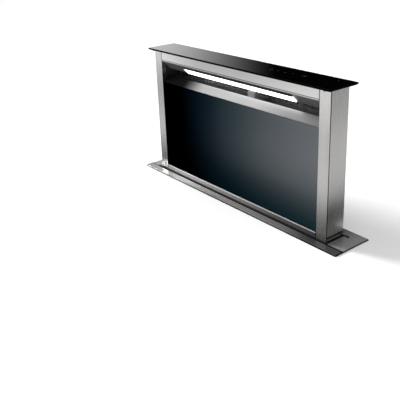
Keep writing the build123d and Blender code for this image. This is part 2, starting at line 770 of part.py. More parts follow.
def flap(side, knuckles):
    """Half-round flap on one side of the pin, with its own share of the knuckles."""
    with BuildPart() as half:
        with BuildSketch(duct_plane(flap_face)):
            Circle(flap_r)
            with Locations((side * (flap_edge - flap_r), 0)):
                Rectangle(2 * flap_r, 2 * flap_r, mode=Mode.SUBTRACT)
        extrude(amount=FLAP_T)
        for index in knuckles:
            low = out_z + (index - 2) * knuckle_h + RUN
            with BuildSketch(Plane((pin_x, FAN_Y, low))):
                Circle(FLAP_KNUCKLE_R)
                with Locations((0, side * flap_edge / 2)):
                    Rectangle(FLAP_T, flap_edge + 2 * FLAP_T)
                Circle(FLAP_PIN_R + SHAFT_RUN, mode=Mode.SUBTRACT)
            extrude(amount=knuckle_h - 2 * RUN)
    return half


keep(flap(-1, (0, 2)), "flap_front")
keep(flap(1, (1, 3)), "flap_back")

# Control box beside the blower box, with a cable gland under it
case_end = CASE_X + SHEET
control_in = -CASE_FACE - CONTROL_D
control_mid = CONTROL_TOP - CONTROL_H / 2
control_x = CONTROL_END_IN + CONTROL_W / 2 - case_end
with BuildPart() as control_box:
    with Locations((control_x, (control_in - CASE_FACE) / 2, control_mid)):
        Box(CONTROL_W, CONTROL_D, CONTROL_H)
    fillet(control_box.edges().filter_by(Axis.Y), CORNER_R)
    offset(amount=-2 * SHEET, openings=control_box.faces().sort_by(Axis.Y)[0])
    with BuildSketch(Plane((control_x, control_in + CONTROL_D / 2, CONTROL_TOP - CONTROL_H))):
        Circle(GLAND_R)
    extrude(amount=2 * SHEET, mode=Mode.SUBTRACT)
keep(control_box, "control_box")

with BuildPart() as control_lid:
    with BuildSketch(Plane((control_x, control_in, control_mid), x_dir=(1, 0, 0), z_dir=(0, -1, 0))):
        RectangleRounded(CONTROL_W, CONTROL_H, CORNER_R)
    extrude(amount=2 * SHEET)
    chamfer(control_lid.faces().sort_by(Axis.Y)[0].edges(), SHEET)
keep(control_lid, "control_lid")

with BuildPart() as cable_gland:
    with BuildSketch(Plane((control_x, control_in + CONTROL_D / 2, CONTROL_TOP - CONTROL_H + 4 * SHEET))):
        Circle(GLAND_R)
    extrude(amount=-GLAND_L)
    with BuildSketch(Plane((control_x, control_in + CONTROL_D / 2, CONTROL_TOP - CONTROL_H))):
        RegularPolygon(GLAND_R + 2 * SHEET, 6)
    extrude(amount=-GLAND_R)
    with BuildSketch(Plane((control_x, control_in + CONTROL_D / 2, CONTROL_TOP - CONTROL_H + 4 * SHEET))):
        Circle(GLAND_BORE_R)
    extrude(amount=-GLAND_L, mode=Mode.SUBTRACT)
keep(cable_gland, "cable_gland")

# Fixings: clamps that pull the trim down onto the worktop, casing screws and levelling legs
shelf_z = -WORKTOP_T - BRACKET_DROP
with BuildPart() as bracket_r:
    bracket_path = (
        (case_end + BRACKET_REACH, shelf_z),
        (case_end, shelf_z),
        (case_end, shelf_z - BRACKET_H),
    )
    extrude(bent(Plane.XZ.offset(BRACKET_W / 2), *bracket_path, gauge=BRACKET_T), amount=-BRACKET_W)
    with BuildSketch(Plane((case_end + BRACKET_REACH / 2, 0, shelf_z))):
        Circle(CLAMP_SCREW_R)
    extrude(amount=-BRACKET_T, mode=Mode.SUBTRACT)
keep(pair_of(bracket_r), "clamp_brackets")

with BuildPart() as clamp_screw_r:
    with BuildSketch(Plane((case_end + BRACKET_REACH / 2, 0, -WORKTOP_T - SEAM))):
        Circle(CLAMP_PAD_R)
    extrude(amount=-CLAMP_PAD_H)
    with BuildSketch(Plane((case_end + BRACKET_REACH / 2, 0, -WORKTOP_T - SEAM))):
        Circle(CLAMP_SCREW_R)
    extrude(amount=-CLAMP_PAD_H - CLAMP_SCREW_L)
keep(pair_of(clamp_screw_r), "clamp_screws")

screw_gap = (CASE_DEPTH - 2 * CASE_SCREW_IN) / (CASE_SCREWS - 1)
with BuildPart() as screws_r:
    for face, outward in ((-CASE_FACE, 1), (CASE_FACE, -1)):
        with BuildSketch(Plane.XZ.offset(-face)):
            with Locations((CASE_X - CASE_FLANGE / 2, BASE_Z / 2)):
                with GridLocations(0, screw_gap, 1, CASE_SCREWS):
                    RegularPolygon(SCREW_R, 6)
        extrude(amount=outward * SCREW_H)
keep(pair_of(screws_r), "case_screws")

leg_places = (
    (case_end - LEG_END_IN, LEG_Y),
    (LEG_END_IN - case_end, LEG_Y),
    (BOX_LEG_X, BOX_FRONT + BOX_LEG_IN),
    (-BOX_LEG_X, BOX_FRONT + BOX_LEG_IN),
)
with BuildPart() as leg_studs:
    with BuildSketch(Plane.XY.offset(BOX_FLOOR)):
        with Locations(*leg_places):
            Circle(LEG_STUD_R)
    extrude(amount=-LEG_STUD_L)
    with BuildSketch(Plane.XY.offset(BOX_FLOOR)):
        with Locations(*leg_places):
            RegularPolygon(2 * LEG_STUD_R, 6)
    extrude(amount=-LEG_STUD_R)
keep(leg_studs, "leg_studs")

with BuildPart() as leg_pads:
    with BuildSketch(Plane.XY.offset(BOX_FLOOR - LEG_STUD_L)):
        with Locations(*leg_places):
            Circle(LEG_PAD_R)
    extrude(amount=-LEG_PAD_H)
    chamfer(leg_pads.faces().group_by(Axis.Z)[-1].edges(), LEG_PAD_H / 2)
keep(leg_pads, "leg_pads")

# Tower front: full-height stiles turned back at their inner edges, and drilled for the panel's pins
with BuildPart() as stile_r:
    stile_path = ((INNER, FRONT + STILE_RETURN), (INNER, FRONT), (END, FRONT))
    extrude(bent(Plane.XY.offset(FOOT), *stile_path), amount=RISE - FOOT)
    with BuildSketch(Plane.YZ.offset(INNER)):
        with Locations((PIVOT_Y, PIVOT_Z)):
            Circle(PIVOT_R + SHAFT_RUN)
    extrude(amount=SHEET, mode=Mode.SUBTRACT)
keep(stile_r, "stile_r")
keep(left_of(stile_r), "stile_l")

# Tower sides: channels that meet the stiles at the front corner
with BuildPart() as side_r:
    side_path = (
        (END - SIDE_FLANGE, FRONT + SHEET),
        (END, FRONT + SHEET),
        (END, BACK),
        (END - SIDE_FLANGE, BACK),
    )
    extrude(bent(Plane.XY.offset(FOOT), *side_path), amount=RISE - FOOT)
keep(pair_of(side_r), "side_walls")

rear_y = BACK - SHEET  # rear wall lies inside the flanges of the sides
with BuildPart() as rear_wall:
    with BuildSketch(Plane.XZ.offset(-rear_y)):
        with Locations((0, (RISE + FOOT) / 2)):
            Rectangle(2 * (END - SHEET - SEAM), RISE - FOOT)
    extrude(amount=SHEET)
keep(rear_wall, "rear_wall")

# Inner cheeks close the air path beside the mouth and the filters
cheek_y0 = FRONT + SHEET
cheek_y1 = rear_y - SHEET
with BuildPart() as cheek_r:
    with BuildSketch(Plane.YZ.offset(INNER + SHEET)):
        with Locations(((cheek_y0 + cheek_y1) / 2, (RISE + FOOT - CHEEK_DROP) / 2)):
            Rectangle(cheek_y1 - cheek_y0, RISE - FOOT - CHEEK_DROP)
    extrude(amount=SHEET)
keep(pair_of(cheek_r), "duct_cheeks")

# Band over the mouth, and the roof that slopes down and back behind it
span = INNER - SEAM
with BuildPart() as top_band:
    band_path = ((FRONT + BAND_FLANGE, RISE), (FRONT, RISE), (FRONT, BAND_Z))
    extrude(bent(Plane.YZ.offset(-span), *band_path), amount=2 * span)
keep(top_band, "top_band")

roof_y = FRONT + SHEET
roof_z = BAND_Z + ROOF_LIP
roof_step = ROOF_RUN * cos(pi / 4)
roof_low = roof_z - roof_step
with BuildPart() as cavity_roof:
    roof_path = (
        (roof_y, roof_z + ROOF_FLANGE),
        (roof_y, roof_z),
        (roof_y + roof_step, roof_low),
        (cheek_y1 - SEAM, roof_low),
        (cheek_y1 - SEAM, roof_low + ROOF_FLANGE),
    )
    extrude(bent(Plane.YZ.offset(-span), *roof_path), amount=2 * span)
keep(cavity_roof, "cavity_roof")

# Light strip on the sloping roof
slope = Plane((0, roof_y, roof_z), x_dir=(1, 0, 0), z_dir=(0, -1, -1))
with BuildPart() as light_lens:
    with BuildSketch(slope):
        with Locations((0, -LENS_START - LENS_W / 2)):
            Rectangle(LENS_L, LENS_W)
    extrude(amount=LENS_T)
keep(light_lens, "light_lens")

# Magnetic catch under the roof, just behind the closed panel's ledge
ledge_back = FRONT + LEDGE_D
lens_low = roof_low - LENS_T
with BuildPart() as panel_catch:
    with BuildSketch(Plane.YZ.offset(CATCH_X - CATCH_W / 2)):
        with BuildLine():
            Polyline(
                (ledge_back + RUN, roof_low - CATCH_DROP),
                (ledge_back + CATCH_D, roof_low - CATCH_DROP),
                (ledge_back + CATCH_D, roof_low),
                (roof_y + roof_step, roof_low),
                (roof_y + roof_step, lens_low),
                (ledge_back + RUN, lens_low),
                close=True,
            )
        make_face()
    extrude(amount=CATCH_W)
keep(panel_catch, "panel_catch")

# Rail under the panel, and the frame at the tower's foot
with BuildPart() as bottom_rail:
    rail_lip_path = ((FRONT + RAIL_TOP_LIP, RAIL_TOP), (FRONT, RAIL_TOP), (FRONT, FOOT))
    extrude(bent(Plane.YZ.offset(-span), *rail_lip_path), amount=2 * span)
keep(bottom_rail, "bottom_rail")

with BuildPart() as foot_frame:
    with BuildSketch(Plane.XY.offset(FOOT)):
        Rectangle(TOWER_W, TOWER_D)
        Rectangle(TOWER_W - 2 * FOOT_BAR_W, TOWER_D - 2 * FOOT_BAR_W, mode=Mode.SUBTRACT)
    extrude(amount=-FOOT_BAR_H)
keep(foot_frame, "foot_frame")

# Cap: shallow tray that carries the glass, with a pocket for the touch board
cap_end = END + CAP_LAP_END
board_x = END - BOARD_END_IN - BOARD_L / 2
cap_front = FRONT - CAP_LAP_FRONT
cap_back = BACK + CAP_LAP_BACK
cap_mid = (cap_front + cap_back) / 2
glass_z = RISE + CAP_TRAY_T
with BuildPart() as cap_frame:
    with BuildSketch(Plane((0, cap_mid, RISE))):
        tray_w = 2 * (cap_end - CAP_TRAY_INSET)
        tray_d = cap_back - cap_front - 2 * CAP_TRAY_INSET
        RectangleRounded(tray_w, tray_d, CAP_CORNER_R)
    extrude(amount=CAP_TRAY_T)
    chamfer(cap_frame.faces().sort_by(Axis.Z)[0].edges(), CAP_TRAY_T / 2)
    with BuildSketch(Plane((board_x, BOARD_Y, glass_z))):
        Rectangle(BOARD_L + 2 * SEAM, BOARD_W + 2 * SEAM)
    extrude(amount=-BOARD_T - SEAM, mode=Mode.SUBTRACT)
keep(cap_frame, "cap_frame")

with BuildPart() as touch_board:
    with BuildSketch(Plane((board_x, BOARD_Y, glass_z))):
        Rectangle(BOARD_L, BOARD_W)
    extrude(amount=-BOARD_T)
keep(touch_board, "touch_board")

with BuildPart() as cap_glass:
    with BuildSketch(Plane((0, cap_mid, glass_z))):
        RectangleRounded(2 * cap_end, cap_back - cap_front, CAP_CORNER_R)
    extrude(amount=CAP_GLASS_T)
    chamfer(cap_glass.faces().sort_by(Axis.Z)[-1].edges(), GLASS_BEVEL)
keep(cap_glass, "cap_glass")

with BuildPart() as cap_bumpers:
    with BuildSketch(Plane((0, cap_mid, RISE))):
        with GridLocations(2 * (cap_end - BUMPER_END_IN), cap_back - cap_front - 2 * BUMPER_IN, 2, 2):
            Circle(BUMPER_R)
    extrude(amount=-BUMPER_H)
keep(cap_bumpers, "cap_bumpers")

# Front panel: glass on a folded tray with a polished ledge along its top
panel_top = GLASS_TOP - TRAY_INSET
panel_low = GLASS_FOOT + TRAY_INSET
tray_y = FRONT + GLASS_T
tray_back = tray_y + TRAY_D
tray_end = PANEL_END - TRAY_INSET
with BuildPart() as panel_glass:
    with BuildSketch(Plane.XZ.offset(-FRONT)):
        with Locations((0, (GLASS_TOP + GLASS_FOOT) / 2)):
            Rectangle(2 * PANEL_END, GLASS_TOP - GLASS_FOOT)
    extrude(amount=-GLASS_T)
    chamfer(panel_glass.faces().sort_by(Axis.Y)[0].edges(), GLASS_BEVEL)
keep(panel_glass, "panel_glass")

ledge_slope = LEDGE_RISE / LEDGE_D
ledge_drop = SHEET * hypot(1, ledge_slope) + SEAM  # from the ledge's face to the gusset


def under_ledge(y):
    """Height of the end gusset's edge, just under the ledge."""
    return LEDGE_Z + (y - FRONT) * ledge_slope - ledge_drop


gusset_back = ledge_back - SHEET - SEAM
with BuildPart() as panel_tray:
    tray_path = ((tray_back, panel_top), (tray_y, panel_top), (tray_y, panel_low), (tray_back, panel_low))
    extrude(bent(Plane.YZ.offset(-tray_end), *tray_path), amount=2 * tray_end)
    for x in (-tray_end, tray_end - SHEET):
        with BuildSketch(Plane.YZ.offset(x)):
            with BuildLine():
                Polyline(
                    (tray_y, panel_low),
                    (tray_back, panel_low),
                    (tray_back, panel_top),
                    (gusset_back, LEDGE_Z),
                    (gusset_back, under_ledge(gusset_back)),
                    (tray_y, under_ledge(tray_y)),
                    close=True,
                )
            make_face()
        extrude(amount=SHEET)
    for x in (-tray_end, tray_end - PIVOT_BOSS):
        with BuildSketch(Plane.YZ.offset(x)):
            with Locations((tray_y + TRAY_D / 2, PIVOT_Z)):
                Rectangle(TRAY_D, 2 * (PIVOT_Z - panel_low))
        extrude(amount=PIVOT_BOSS)
    with BuildSketch(Plane.YZ):
        with Locations((PIVOT_Y, PIVOT_Z)):
            Circle(PIVOT_R)
    extrude(amount=tray_end, both=True, mode=Mode.SUBTRACT)
keep(panel_tray, "panel_tray")

with BuildPart() as panel_ledge:
    ledge_path = (
        (ledge_back, LEDGE_Z + LEDGE_RISE - LEDGE_FLANGE),
        (ledge_back, LEDGE_Z + LEDGE_RISE),
        (FRONT, LEDGE_Z),
    )
    extrude(bent(Plane.YZ.offset(-PANEL_END), *ledge_path), amount=2 * PANEL_END)
keep(panel_ledge, "panel_ledge")

with BuildPart() as panel_pin_r:
    with BuildSketch(Plane.YZ.offset(tray_end - PIVOT_BOSS)):
        with Locations((PIVOT_Y, PIVOT_Z)):
            Circle(PIVOT_R)
    extrude(amount=INNER + SHEET - RUN - tray_end + PIVOT_BOSS)
keep(pair_of(panel_pin_r), "panel_pins")

# Filter frame behind the panel, with a floor for the filters and a keeper for each latch
frame_y = FILTER_Y + FILTER_T
frame_end = INNER + SHEET
filter_out = INNER - FILTER_SIDE
filter_mid = (FILTER_GAP + filter_out) / 2
filter_w = filter_out - FILTER_GAP
frame_top = GLASS_TOP + FRAME_RISE
filter_top = frame_top - FILTER_HEAD
filter_h = filter_top - FILTER_FLOOR
filter_z = (FILTER_FLOOR + filter_top) / 2
latch_y = FILTER_Y - RUN - LATCH_T
keeper_y = latch_y - RUN - SHEET
tongue_top = filter_top + LATCH_RISE
with BuildPart() as filter_frame:
    frame_path = (
        (cheek_y1 - SEAM, frame_top),
        (frame_y, frame_top),
        (frame_y, FILTER_FLOOR),
        (frame_y - FILTER_FLOOR_D, FILTER_FLOOR),
    )
    extrude(bent(Plane.YZ.offset(-frame_end), *frame_path), amount=2 * frame_end)
    with BuildSketch(Plane.XZ.offset(-frame_y)):
        with Locations((-filter_mid, filter_z), (filter_mid, filter_z)):
            Rectangle(filter_w - 2 * FILTER_RIM, filter_h - 2 * FILTER_RIM)
    extrude(amount=-SHEET, mode=Mode.SUBTRACT)
    for x in (-filter_mid, filter_mid):
        keeper_path = (
            (frame_y, tongue_top + RUN + 2 * SHEET),
            (keeper_y, tongue_top + RUN + 2 * SHEET),
            (keeper_y, tongue_top - LATCH_TRAVEL + RUN),
        )
        extrude(bent(Plane.YZ.offset(x - KEEPER_W / 2), *keeper_path), amount=KEEPER_W)
keep(filter_frame, "filter_frame")

# Grease filters: a rim round a stack of tilted slats
with BuildPart() as filter_r:
    with BuildSketch(Plane.XZ.offset(-FILTER_Y)):
        with Locations((filter_mid, filter_z)):
            Rectangle(filter_w, filter_h)
            Rectangle(filter_w - 2 * FILTER_RIM, filter_h - 2 * FILTER_RIM, mode=Mode.SUBTRACT)
    extrude(amount=-FILTER_T)
    slat_pitch = (filter_h - 2 * FILTER_RIM) / SLATS
    with BuildSketch(Plane.YZ.offset(FILTER_GAP + FILTER_RIM)):
        with Locations((FILTER_Y + FILTER_T / 2, filter_z)):
            with GridLocations(0, slat_pitch, 1, SLATS):
                Rectangle(SLAT_W, SLAT_T, rotation=-SLAT_TURN)
    extrude(amount=filter_w - 2 * FILTER_RIM)
keep(pair_of(filter_r), "grease_filters")

with BuildPart() as filter_latch_r:
    with BuildSketch(Plane.YZ.offset(filter_mid - LATCH_W / 2)):
        latch_low = tongue_top - LATCH_H
        with BuildLine():
            Polyline(
                (latch_y + LATCH_T, tongue_top),
                (latch_y, tongue_top),
                (latch_y, latch_low + LATCH_LIP),
                (latch_y - LATCH_LIP, latch_low),
                (latch_y + LATCH_T, latch_low),
                close=True,
            )
        make_face()
    extrude(amount=LATCH_W)
keep(filter_latch_r, "filter_latch_r")
keep(left_of(filter_latch_r), "filter_latch_l")
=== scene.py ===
# %% [markdown]
# # Dressing a downdraft hood
# The hood is a thin steel tower that rises out of a slot in the worktop. Its front is black glass,
# with a lit intake mouth above it, and a flat glass cap covers the slot when the tower is down.
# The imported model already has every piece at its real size, so this lesson gives each one its
# finish, adds the small things that only the eye needs, and sets up the studio.

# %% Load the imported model
from math import cos, pi, radians, sin

import bmesh
import bpy
from mathutils import Matrix, Vector


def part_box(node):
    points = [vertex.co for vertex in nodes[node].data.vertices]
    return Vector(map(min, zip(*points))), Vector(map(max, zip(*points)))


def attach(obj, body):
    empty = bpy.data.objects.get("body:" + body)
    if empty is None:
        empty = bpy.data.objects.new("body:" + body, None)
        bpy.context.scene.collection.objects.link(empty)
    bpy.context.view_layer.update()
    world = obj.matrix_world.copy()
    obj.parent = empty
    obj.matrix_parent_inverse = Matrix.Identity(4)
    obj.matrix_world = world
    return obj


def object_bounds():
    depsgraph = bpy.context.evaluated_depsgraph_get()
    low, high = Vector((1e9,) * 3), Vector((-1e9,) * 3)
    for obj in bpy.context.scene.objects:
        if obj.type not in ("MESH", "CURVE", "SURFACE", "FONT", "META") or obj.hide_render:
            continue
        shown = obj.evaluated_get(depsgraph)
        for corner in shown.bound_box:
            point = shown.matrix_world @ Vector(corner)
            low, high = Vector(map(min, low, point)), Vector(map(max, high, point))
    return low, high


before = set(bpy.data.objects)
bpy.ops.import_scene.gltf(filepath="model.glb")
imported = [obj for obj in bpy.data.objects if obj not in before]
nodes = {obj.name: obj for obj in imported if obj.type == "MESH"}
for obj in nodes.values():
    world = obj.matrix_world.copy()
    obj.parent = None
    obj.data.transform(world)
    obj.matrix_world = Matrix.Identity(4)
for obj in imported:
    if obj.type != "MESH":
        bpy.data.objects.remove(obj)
cad_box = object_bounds()
print(len(nodes), "nodes, from", cad_box[0][:], "to", cad_box[1][:])

# %% [markdown]
# ## The camera
# The picture was taken from the right and a little above the cap. A camera could be aimed at a
# target, but here its turn, dip and roll are given in radians, because a fit to the photograph
# gives those. A small lens shift lowers the frame, so the camera dips less and the uprights lean
# less. A full shift would keep them parallel, and push the hood out of the other views. The view
# transform is Standard, which shows a colour as it is written.

# %% The photograph's view
EYE = Vector((1.3683, -1.1786, 0.8235))
TURN = 0.9273
DIP = 0.3668
ROLL = -0.0429
LENS = 56.9
SHIFT = -0.1
ahead = Vector((-sin(TURN), cos(TURN), 0))
across = Vector((cos(TURN), sin(TURN), 0))
look = ahead * cos(DIP) - Vector((0, 0, sin(DIP)))
lift = ahead * sin(DIP) + Vector((0, 0, cos(DIP)))
right = across * cos(ROLL) + lift * sin(ROLL)
up = lift * cos(ROLL) - across * sin(ROLL)
camera_data = bpy.data.cameras.new("studio_camera")
camera_data.lens = LENS
camera_data.shift_y = SHIFT
camera = bpy.data.objects.new("studio_camera", camera_data)
camera.matrix_world = Matrix.LocRotScale(EYE, Matrix((right, up, -look)).transposed(), None)
bpy.context.scene.collection.objects.link(camera)
bpy.context.scene.camera = camera
bpy.context.scene.view_settings.view_transform = "Standard"
print("camera looks along", [round(c, 3) for c in look])

# %% [markdown]
# ## Building finishes in code
# A finish is a small network of nodes. Wiring it by hand in code is long, so two classes help.
# `Value` wraps a socket, and an ordinary sum of values adds the Math nodes that it needs.
# `Finish` owns one material and makes every other kind of node with one method.


# %% A value that does sums
class Value:
    """A node's output that Python's arithmetic can use."""

    def __init__(self, finish, socket):
        self.finish = finish
        self.socket = socket

    def maths(self, operation, *others):
        return self.finish.node("ShaderNodeMath", {"operation": operation}, [self, *others])

    def __add__(self, other):
        return self.maths("ADD", other)

    __radd__ = __add__

    def __mul__(self, other):
        return self.maths("MULTIPLY", other)

    __rmul__ = __mul__

    def __sub__(self, other):
        return self.maths("SUBTRACT", other)

    def __rsub__(self, other):
        return self.finish.node("ShaderNodeMath", {"operation": "SUBTRACT"}, [other, self])

    def __truediv__(self, other):
        return self.maths("DIVIDE", other)

    def __abs__(self):
        return self.maths("ABSOLUTE")

    def __lt__(self, other):
        return self.maths("LESS_THAN", other)

    def __gt__(self, other):
        return self.maths("GREATER_THAN", other)

    def soft(self, low, high, start=0.0, end=1.0):
        """A soft step from start to end, while this value goes from low to high."""
        inputs = {"Value": self, "From Min": low, "From Max": high, "To Min": start, "To Max": end}
        return self.finish.node("ShaderNodeMapRange", {"interpolation_type": "SMOOTHSTEP"}, inputs)


# %% A finish that makes nodes
class Finish:
    """One material, made node by node round its main shader."""

    def __init__(self, name):
        self.material = bpy.data.materials.new(name)
        self.material.use_nodes = True
        self.tree = self.material.node_tree
        self.shader = self.tree.nodes["Principled BSDF"]
        self.place = self.node("ShaderNodeTexCoord", output="Object")

    def node(self, kind, settings=None, inputs=(), output=None):
        """A node with its settings, then the values or links of its sockets."""
        made = self.tree.nodes.new(kind)
        for name, value in (settings or {}).items():
            if name == "stops":
                self.set_stops(made.color_ramp, value)
            else:
                setattr(made, name, value)
        pairs = inputs.items() if isinstance(inputs, dict) else enumerate(inputs)
        for key, value in pairs:
            socket = made.inputs[key] if isinstance(key, int) else self.named(made.inputs, key)
            self.feed(socket, value)
        return Value(self, self.named(made.outputs, output))

    @staticmethod
    def named(sockets, name):
        """The first socket in use, or the first in use with that name."""
        return next(s for s in sockets if s.enabled and name in (None, s.name))

    @staticmethod
    def set_stops(ramp, stops):
        while len(ramp.elements) < len(stops):
            ramp.elements.new(0.5)
        for element, (at, shade) in zip(ramp.elements, stops):
            element.position = at
            element.color = (*shade, 1)

    def feed(self, socket, value):
        if isinstance(value, Value):
            self.tree.links.new(value.socket, socket)
        else:
            socket.default_value = value

    def set(self, **values):
        """Sets the main shader's sockets, such as base_color or roughness."""
        for name, value in values.items():
            label = name.replace("_", " ").title().replace("Ior", "IOR")
            self.feed(self.shader.inputs[label], value)

    def stretched(self, scale):
        """Object coordinates times a scale on each axis."""
        return self.node("ShaderNodeMapping", {}, {"Vector": self.place, "Scale": scale})

    def noise(self, scale, detail=2.0, where=None):
        inputs = {"Vector": where or self.place, "Scale": scale, "Detail": detail}
        return self.node("ShaderNodeTexNoise", {}, inputs)

    def axis(self, name):
        """One object coordinate, in metres."""
        return self.node("ShaderNodeSeparateXYZ", {}, [self.place], output=name)

    def ray(self, kind):
        """One for rays of a kind, such as Camera or Glossy, and zero for all others."""
        return self.node("ShaderNodeLightPath", output=f"Is {kind} Ray")

    def line(self, axis, place, width, depth):
        """A factor that dips by that depth on a narrow line across an axis."""
        return 1 - (abs(self.axis(axis) - place) < width / 2) * depth

    def along(self, axis, pairs):
        """A number that changes along an axis, from pairs of place in metres and value."""
        low = pairs[0][0]
        length = pairs[-1][0] - low
        stops = [((place - low) / length, (value,) * 3) for place, value in pairs]
        return self.node("ShaderNodeRGBToBW", {}, [self.shades((self.axis(axis) - low) / length, stops)])

    def shades(self, value, stops):
        """A colour that follows a value, from pairs of value and colour."""
        return self.node("ShaderNodeValToRGB", {"stops": stops}, [value])

    def scaled(self, colour, factor):
        """A colour times a number."""
        return self.node("ShaderNodeVectorMath", {"operation": "SCALE"}, {0: colour, "Scale": factor})

    def mix(self, factor, first, second):
        inputs = {"Factor": factor, "A": first, "B": second}
        return self.node("ShaderNodeMix", {"data_type": "RGBA"}, inputs)

    def bump(self, height, depth):
        """Relief of that depth in metres."""
        inputs = {"Strength": 1.0, "Distance": depth, "Height": height}
        self.set(normal=self.node("ShaderNodeBump", {}, inputs))


# %% Two helpers for greys and for dressing
def grey(level, warmth=0.0):
    """A shade of grey, a little warm or cool."""
    return (level * (1 + warmth), level, level * (1 - warmth), 1)


def dress(finish, *names):
    """Gives a finish to CAD nodes."""
    for name in names:
        mesh = nodes[name].data
        mesh.materials.clear()
        mesh.materials.append(finish.material)
    print(finish.material.name, "on", ", ".join(names))


# %% [markdown]
# ## Brushed stainless steel
# A belt of grit leaves thousands of fine parallel scratches. Each one is far longer than it is
# wide, so a noise that is squeezed across the grain and stretched along it gives both the streaks
# of tone and the relief. Broad soft bands keep a large sheet from looking like one flat grey.
# `gloss` is the roughness in the middle of the range that the streaks and the wear spread it over.


# %% Steel with its grain along one axis
GRAIN_FINE = 2600
GRAIN_LONG = 9
BAND_RATIO = 40
STREAK_SHARE = 0.55
WEAR_SCALE = 7.0
DARKEST = 0.86
LIGHTEST = 1.12
BRUSHED = 0.0000012
POLISHED = 0.0000006


def brushed_steel(name, along, tone, gloss, fade=None, relief=BRUSHED, streaky=0.16, worn=0.08):
    """Steel with its grain along an axis. Fade makes a factor for its colour from the finish."""
    steel = Finish(name)
    scale = [GRAIN_FINE] * 3
    scale["XYZ".index(along)] = GRAIN_LONG
    streaks = steel.noise(1.0, detail=3.0, where=steel.stretched(scale))
    broad = [s / BAND_RATIO for s in scale]
    bands = steel.noise(1.0, where=steel.stretched(broad))
    wear = steel.noise(WEAR_SCALE, detail=3.0)
    shade = streaks * STREAK_SHARE + bands * (1 - STREAK_SHARE)
    colour = steel.mix(shade, grey(tone * DARKEST, warmth=0.01), grey(tone * LIGHTEST, warmth=0.015))
    if fade:
        colour = steel.scaled(colour, fade(steel))
    steel.set(base_color=colour, metallic=1.0)
    steel.set(roughness=shade * streaky + wear * worn + (gloss - (streaky + worn) / 2))
    steel.bump(streaks, relief)
    return steel


stile_steel = brushed_steel("brushed_stile", "Z", tone=0.56, gloss=0.26)
dress(stile_steel, "stile_r", "stile_l")

# %% [markdown]
# ## Seams, hems and painted light in the sheet
# Two sheets that meet leave a dark seam, and a folded edge a dark hem. They are narrow lines in the
# sheet's own colour, set from the boxes of the CAD nodes, so they stay on the piece in every view.
# Low on the side sheet a dark band is painted shade, not a fold. The band over the mouth has a
# painted reflection: a run of tones along it, for the light and dark things beside it.


# %% The tower's sides and the band over the mouth
SEAM_W = 0.003
HEM_W = 0.002
# Height of a painted band of shade low on the side sheet.
SIDE_SHADE_Z = 0.0165
# Tones of a painted reflection along the band over the mouth.
BAND_REFLECTION = ((-0.34, 1.3), (-0.15, 0.9), (0.05, 0.92), (0.34, 1.15))
front_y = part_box("stile_r")[0].y
band_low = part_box("top_band")[0].z
band_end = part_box("top_band")[1].x


def end_seams(steel, depth):
    """A factor that is darker at both ends of the band or of the rail."""
    return 1 - (abs(steel.axis("X")) > band_end - SEAM_W) * depth


# The corner seam is the sheet's own dark joint. The dark band near the foot is painted shade.
def side_seam_and_shade(steel):
    corner = steel.line("Y", front_y, 3 * SEAM_W, depth=0.85)
    return corner * steel.line("Z", SIDE_SHADE_Z, 2 * SEAM_W, depth=0.93)


# The hem and the end seams are dark joints. The run along the band is a painted reflection.
def band_seams_and_reflection(steel):
    hem = steel.line("Z", band_low + 1.5 * HEM_W, HEM_W, depth=0.85)
    return steel.along("X", BAND_REFLECTION) * hem * end_seams(steel, depth=0.7)


side_steel = brushed_steel("brushed_side", "Z", tone=0.56, gloss=0.26, fade=side_seam_and_shade)
band_steel = brushed_steel("brushed_band", "X", tone=0.56, gloss=0.3, fade=band_seams_and_reflection)
dress(side_steel, "side_walls", "rear_wall")
dress(band_steel, "top_band")

# %% [markdown]
# ## The rail and the ledge
# The rail at the tower's foot gets a painted highlight on its upper hem, painted shade where it
# goes into the slot, and a painted reflection that runs from light at its left to dark at its
# right. It faces the plate, and two mirrors face to face catch the sun in grains, so the rail is
# made partly diffuse. The ledge under the mouth gets a painted reflection in its colour: near black
# at its left end for the dark cavity, and lighter further on for the light strip. Its metal fades
# in from left to right the same way.


# %% Rail and ledge
# The next four: a painted reflection along the rail, a painted highlight on its hem, and the height and
# depth of painted shade at its foot.
RAIL_REFLECTION = ((-0.34, 0.5), (-0.25, 0.75), (-0.1, 0.56), (0.05, 0.37), (0.2, 0.17), (0.34, 0.12))
HEM_HIGHLIGHT = 0.9
RAIL_SHADE_Z = 0.0075
RAIL_SHADE_DEPTH = 0.85
RAIL_METAL = 0.3
# The next three: a painted reflection along the ledge, its near-black level for the dark cavity, and
# where the strip's painted reflection fades in.
LEDGE_REFLECTION = ((-0.13, 0.26), (-0.02, 0.34), (0.1, 0.42), (0.34, 0.28))
CAVITY_REFLECTION = 0.01
STRIP_REFLECTION_X = (-0.24, -0.13)
rail_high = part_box("bottom_rail")[1].z


# Painted highlight on the hem, painted shade at the foot and a painted reflection along the rail. The
# end seams are dark joints.
def rail_seams_and_painted_light(steel):
    hem = (steel.axis("Z") > rail_high - HEM_W) * HEM_HIGHLIGHT
    foot = 1 - (steel.axis("Z") < RAIL_SHADE_Z) * RAIL_SHADE_DEPTH
    return (steel.along("X", RAIL_REFLECTION) * foot + hem) * end_seams(steel, depth=0.8)


def strip_reflection_mask(steel):
    """One where the ledge gets the light strip's painted reflection, and zero where it gets the
    cavity's.
    """
    return steel.axis("X").soft(*STRIP_REFLECTION_X)


# The ledge's colour is a painted reflection: near black at the left, then a run of tones.
def ledge_painted_reflection(steel):
    return strip_reflection_mask(steel) * steel.along("X", LEDGE_REFLECTION) + CAVITY_REFLECTION


rail_steel = brushed_steel("brushed_rail", "X", tone=0.56, gloss=0.3, fade=rail_seams_and_painted_light, relief=POLISHED)
rail_steel.set(metallic=RAIL_METAL, specular_ior_level=0.0)
dress(rail_steel, "bottom_rail")
ledge_steel = brushed_steel("polished_ledge", "X", tone=0.6, gloss=0.36, fade=ledge_painted_reflection)
ledge_steel.set(metallic=strip_reflection_mask(ledge_steel), specular_ior_level=0.0)
dress(ledge_steel, "panel_ledge")
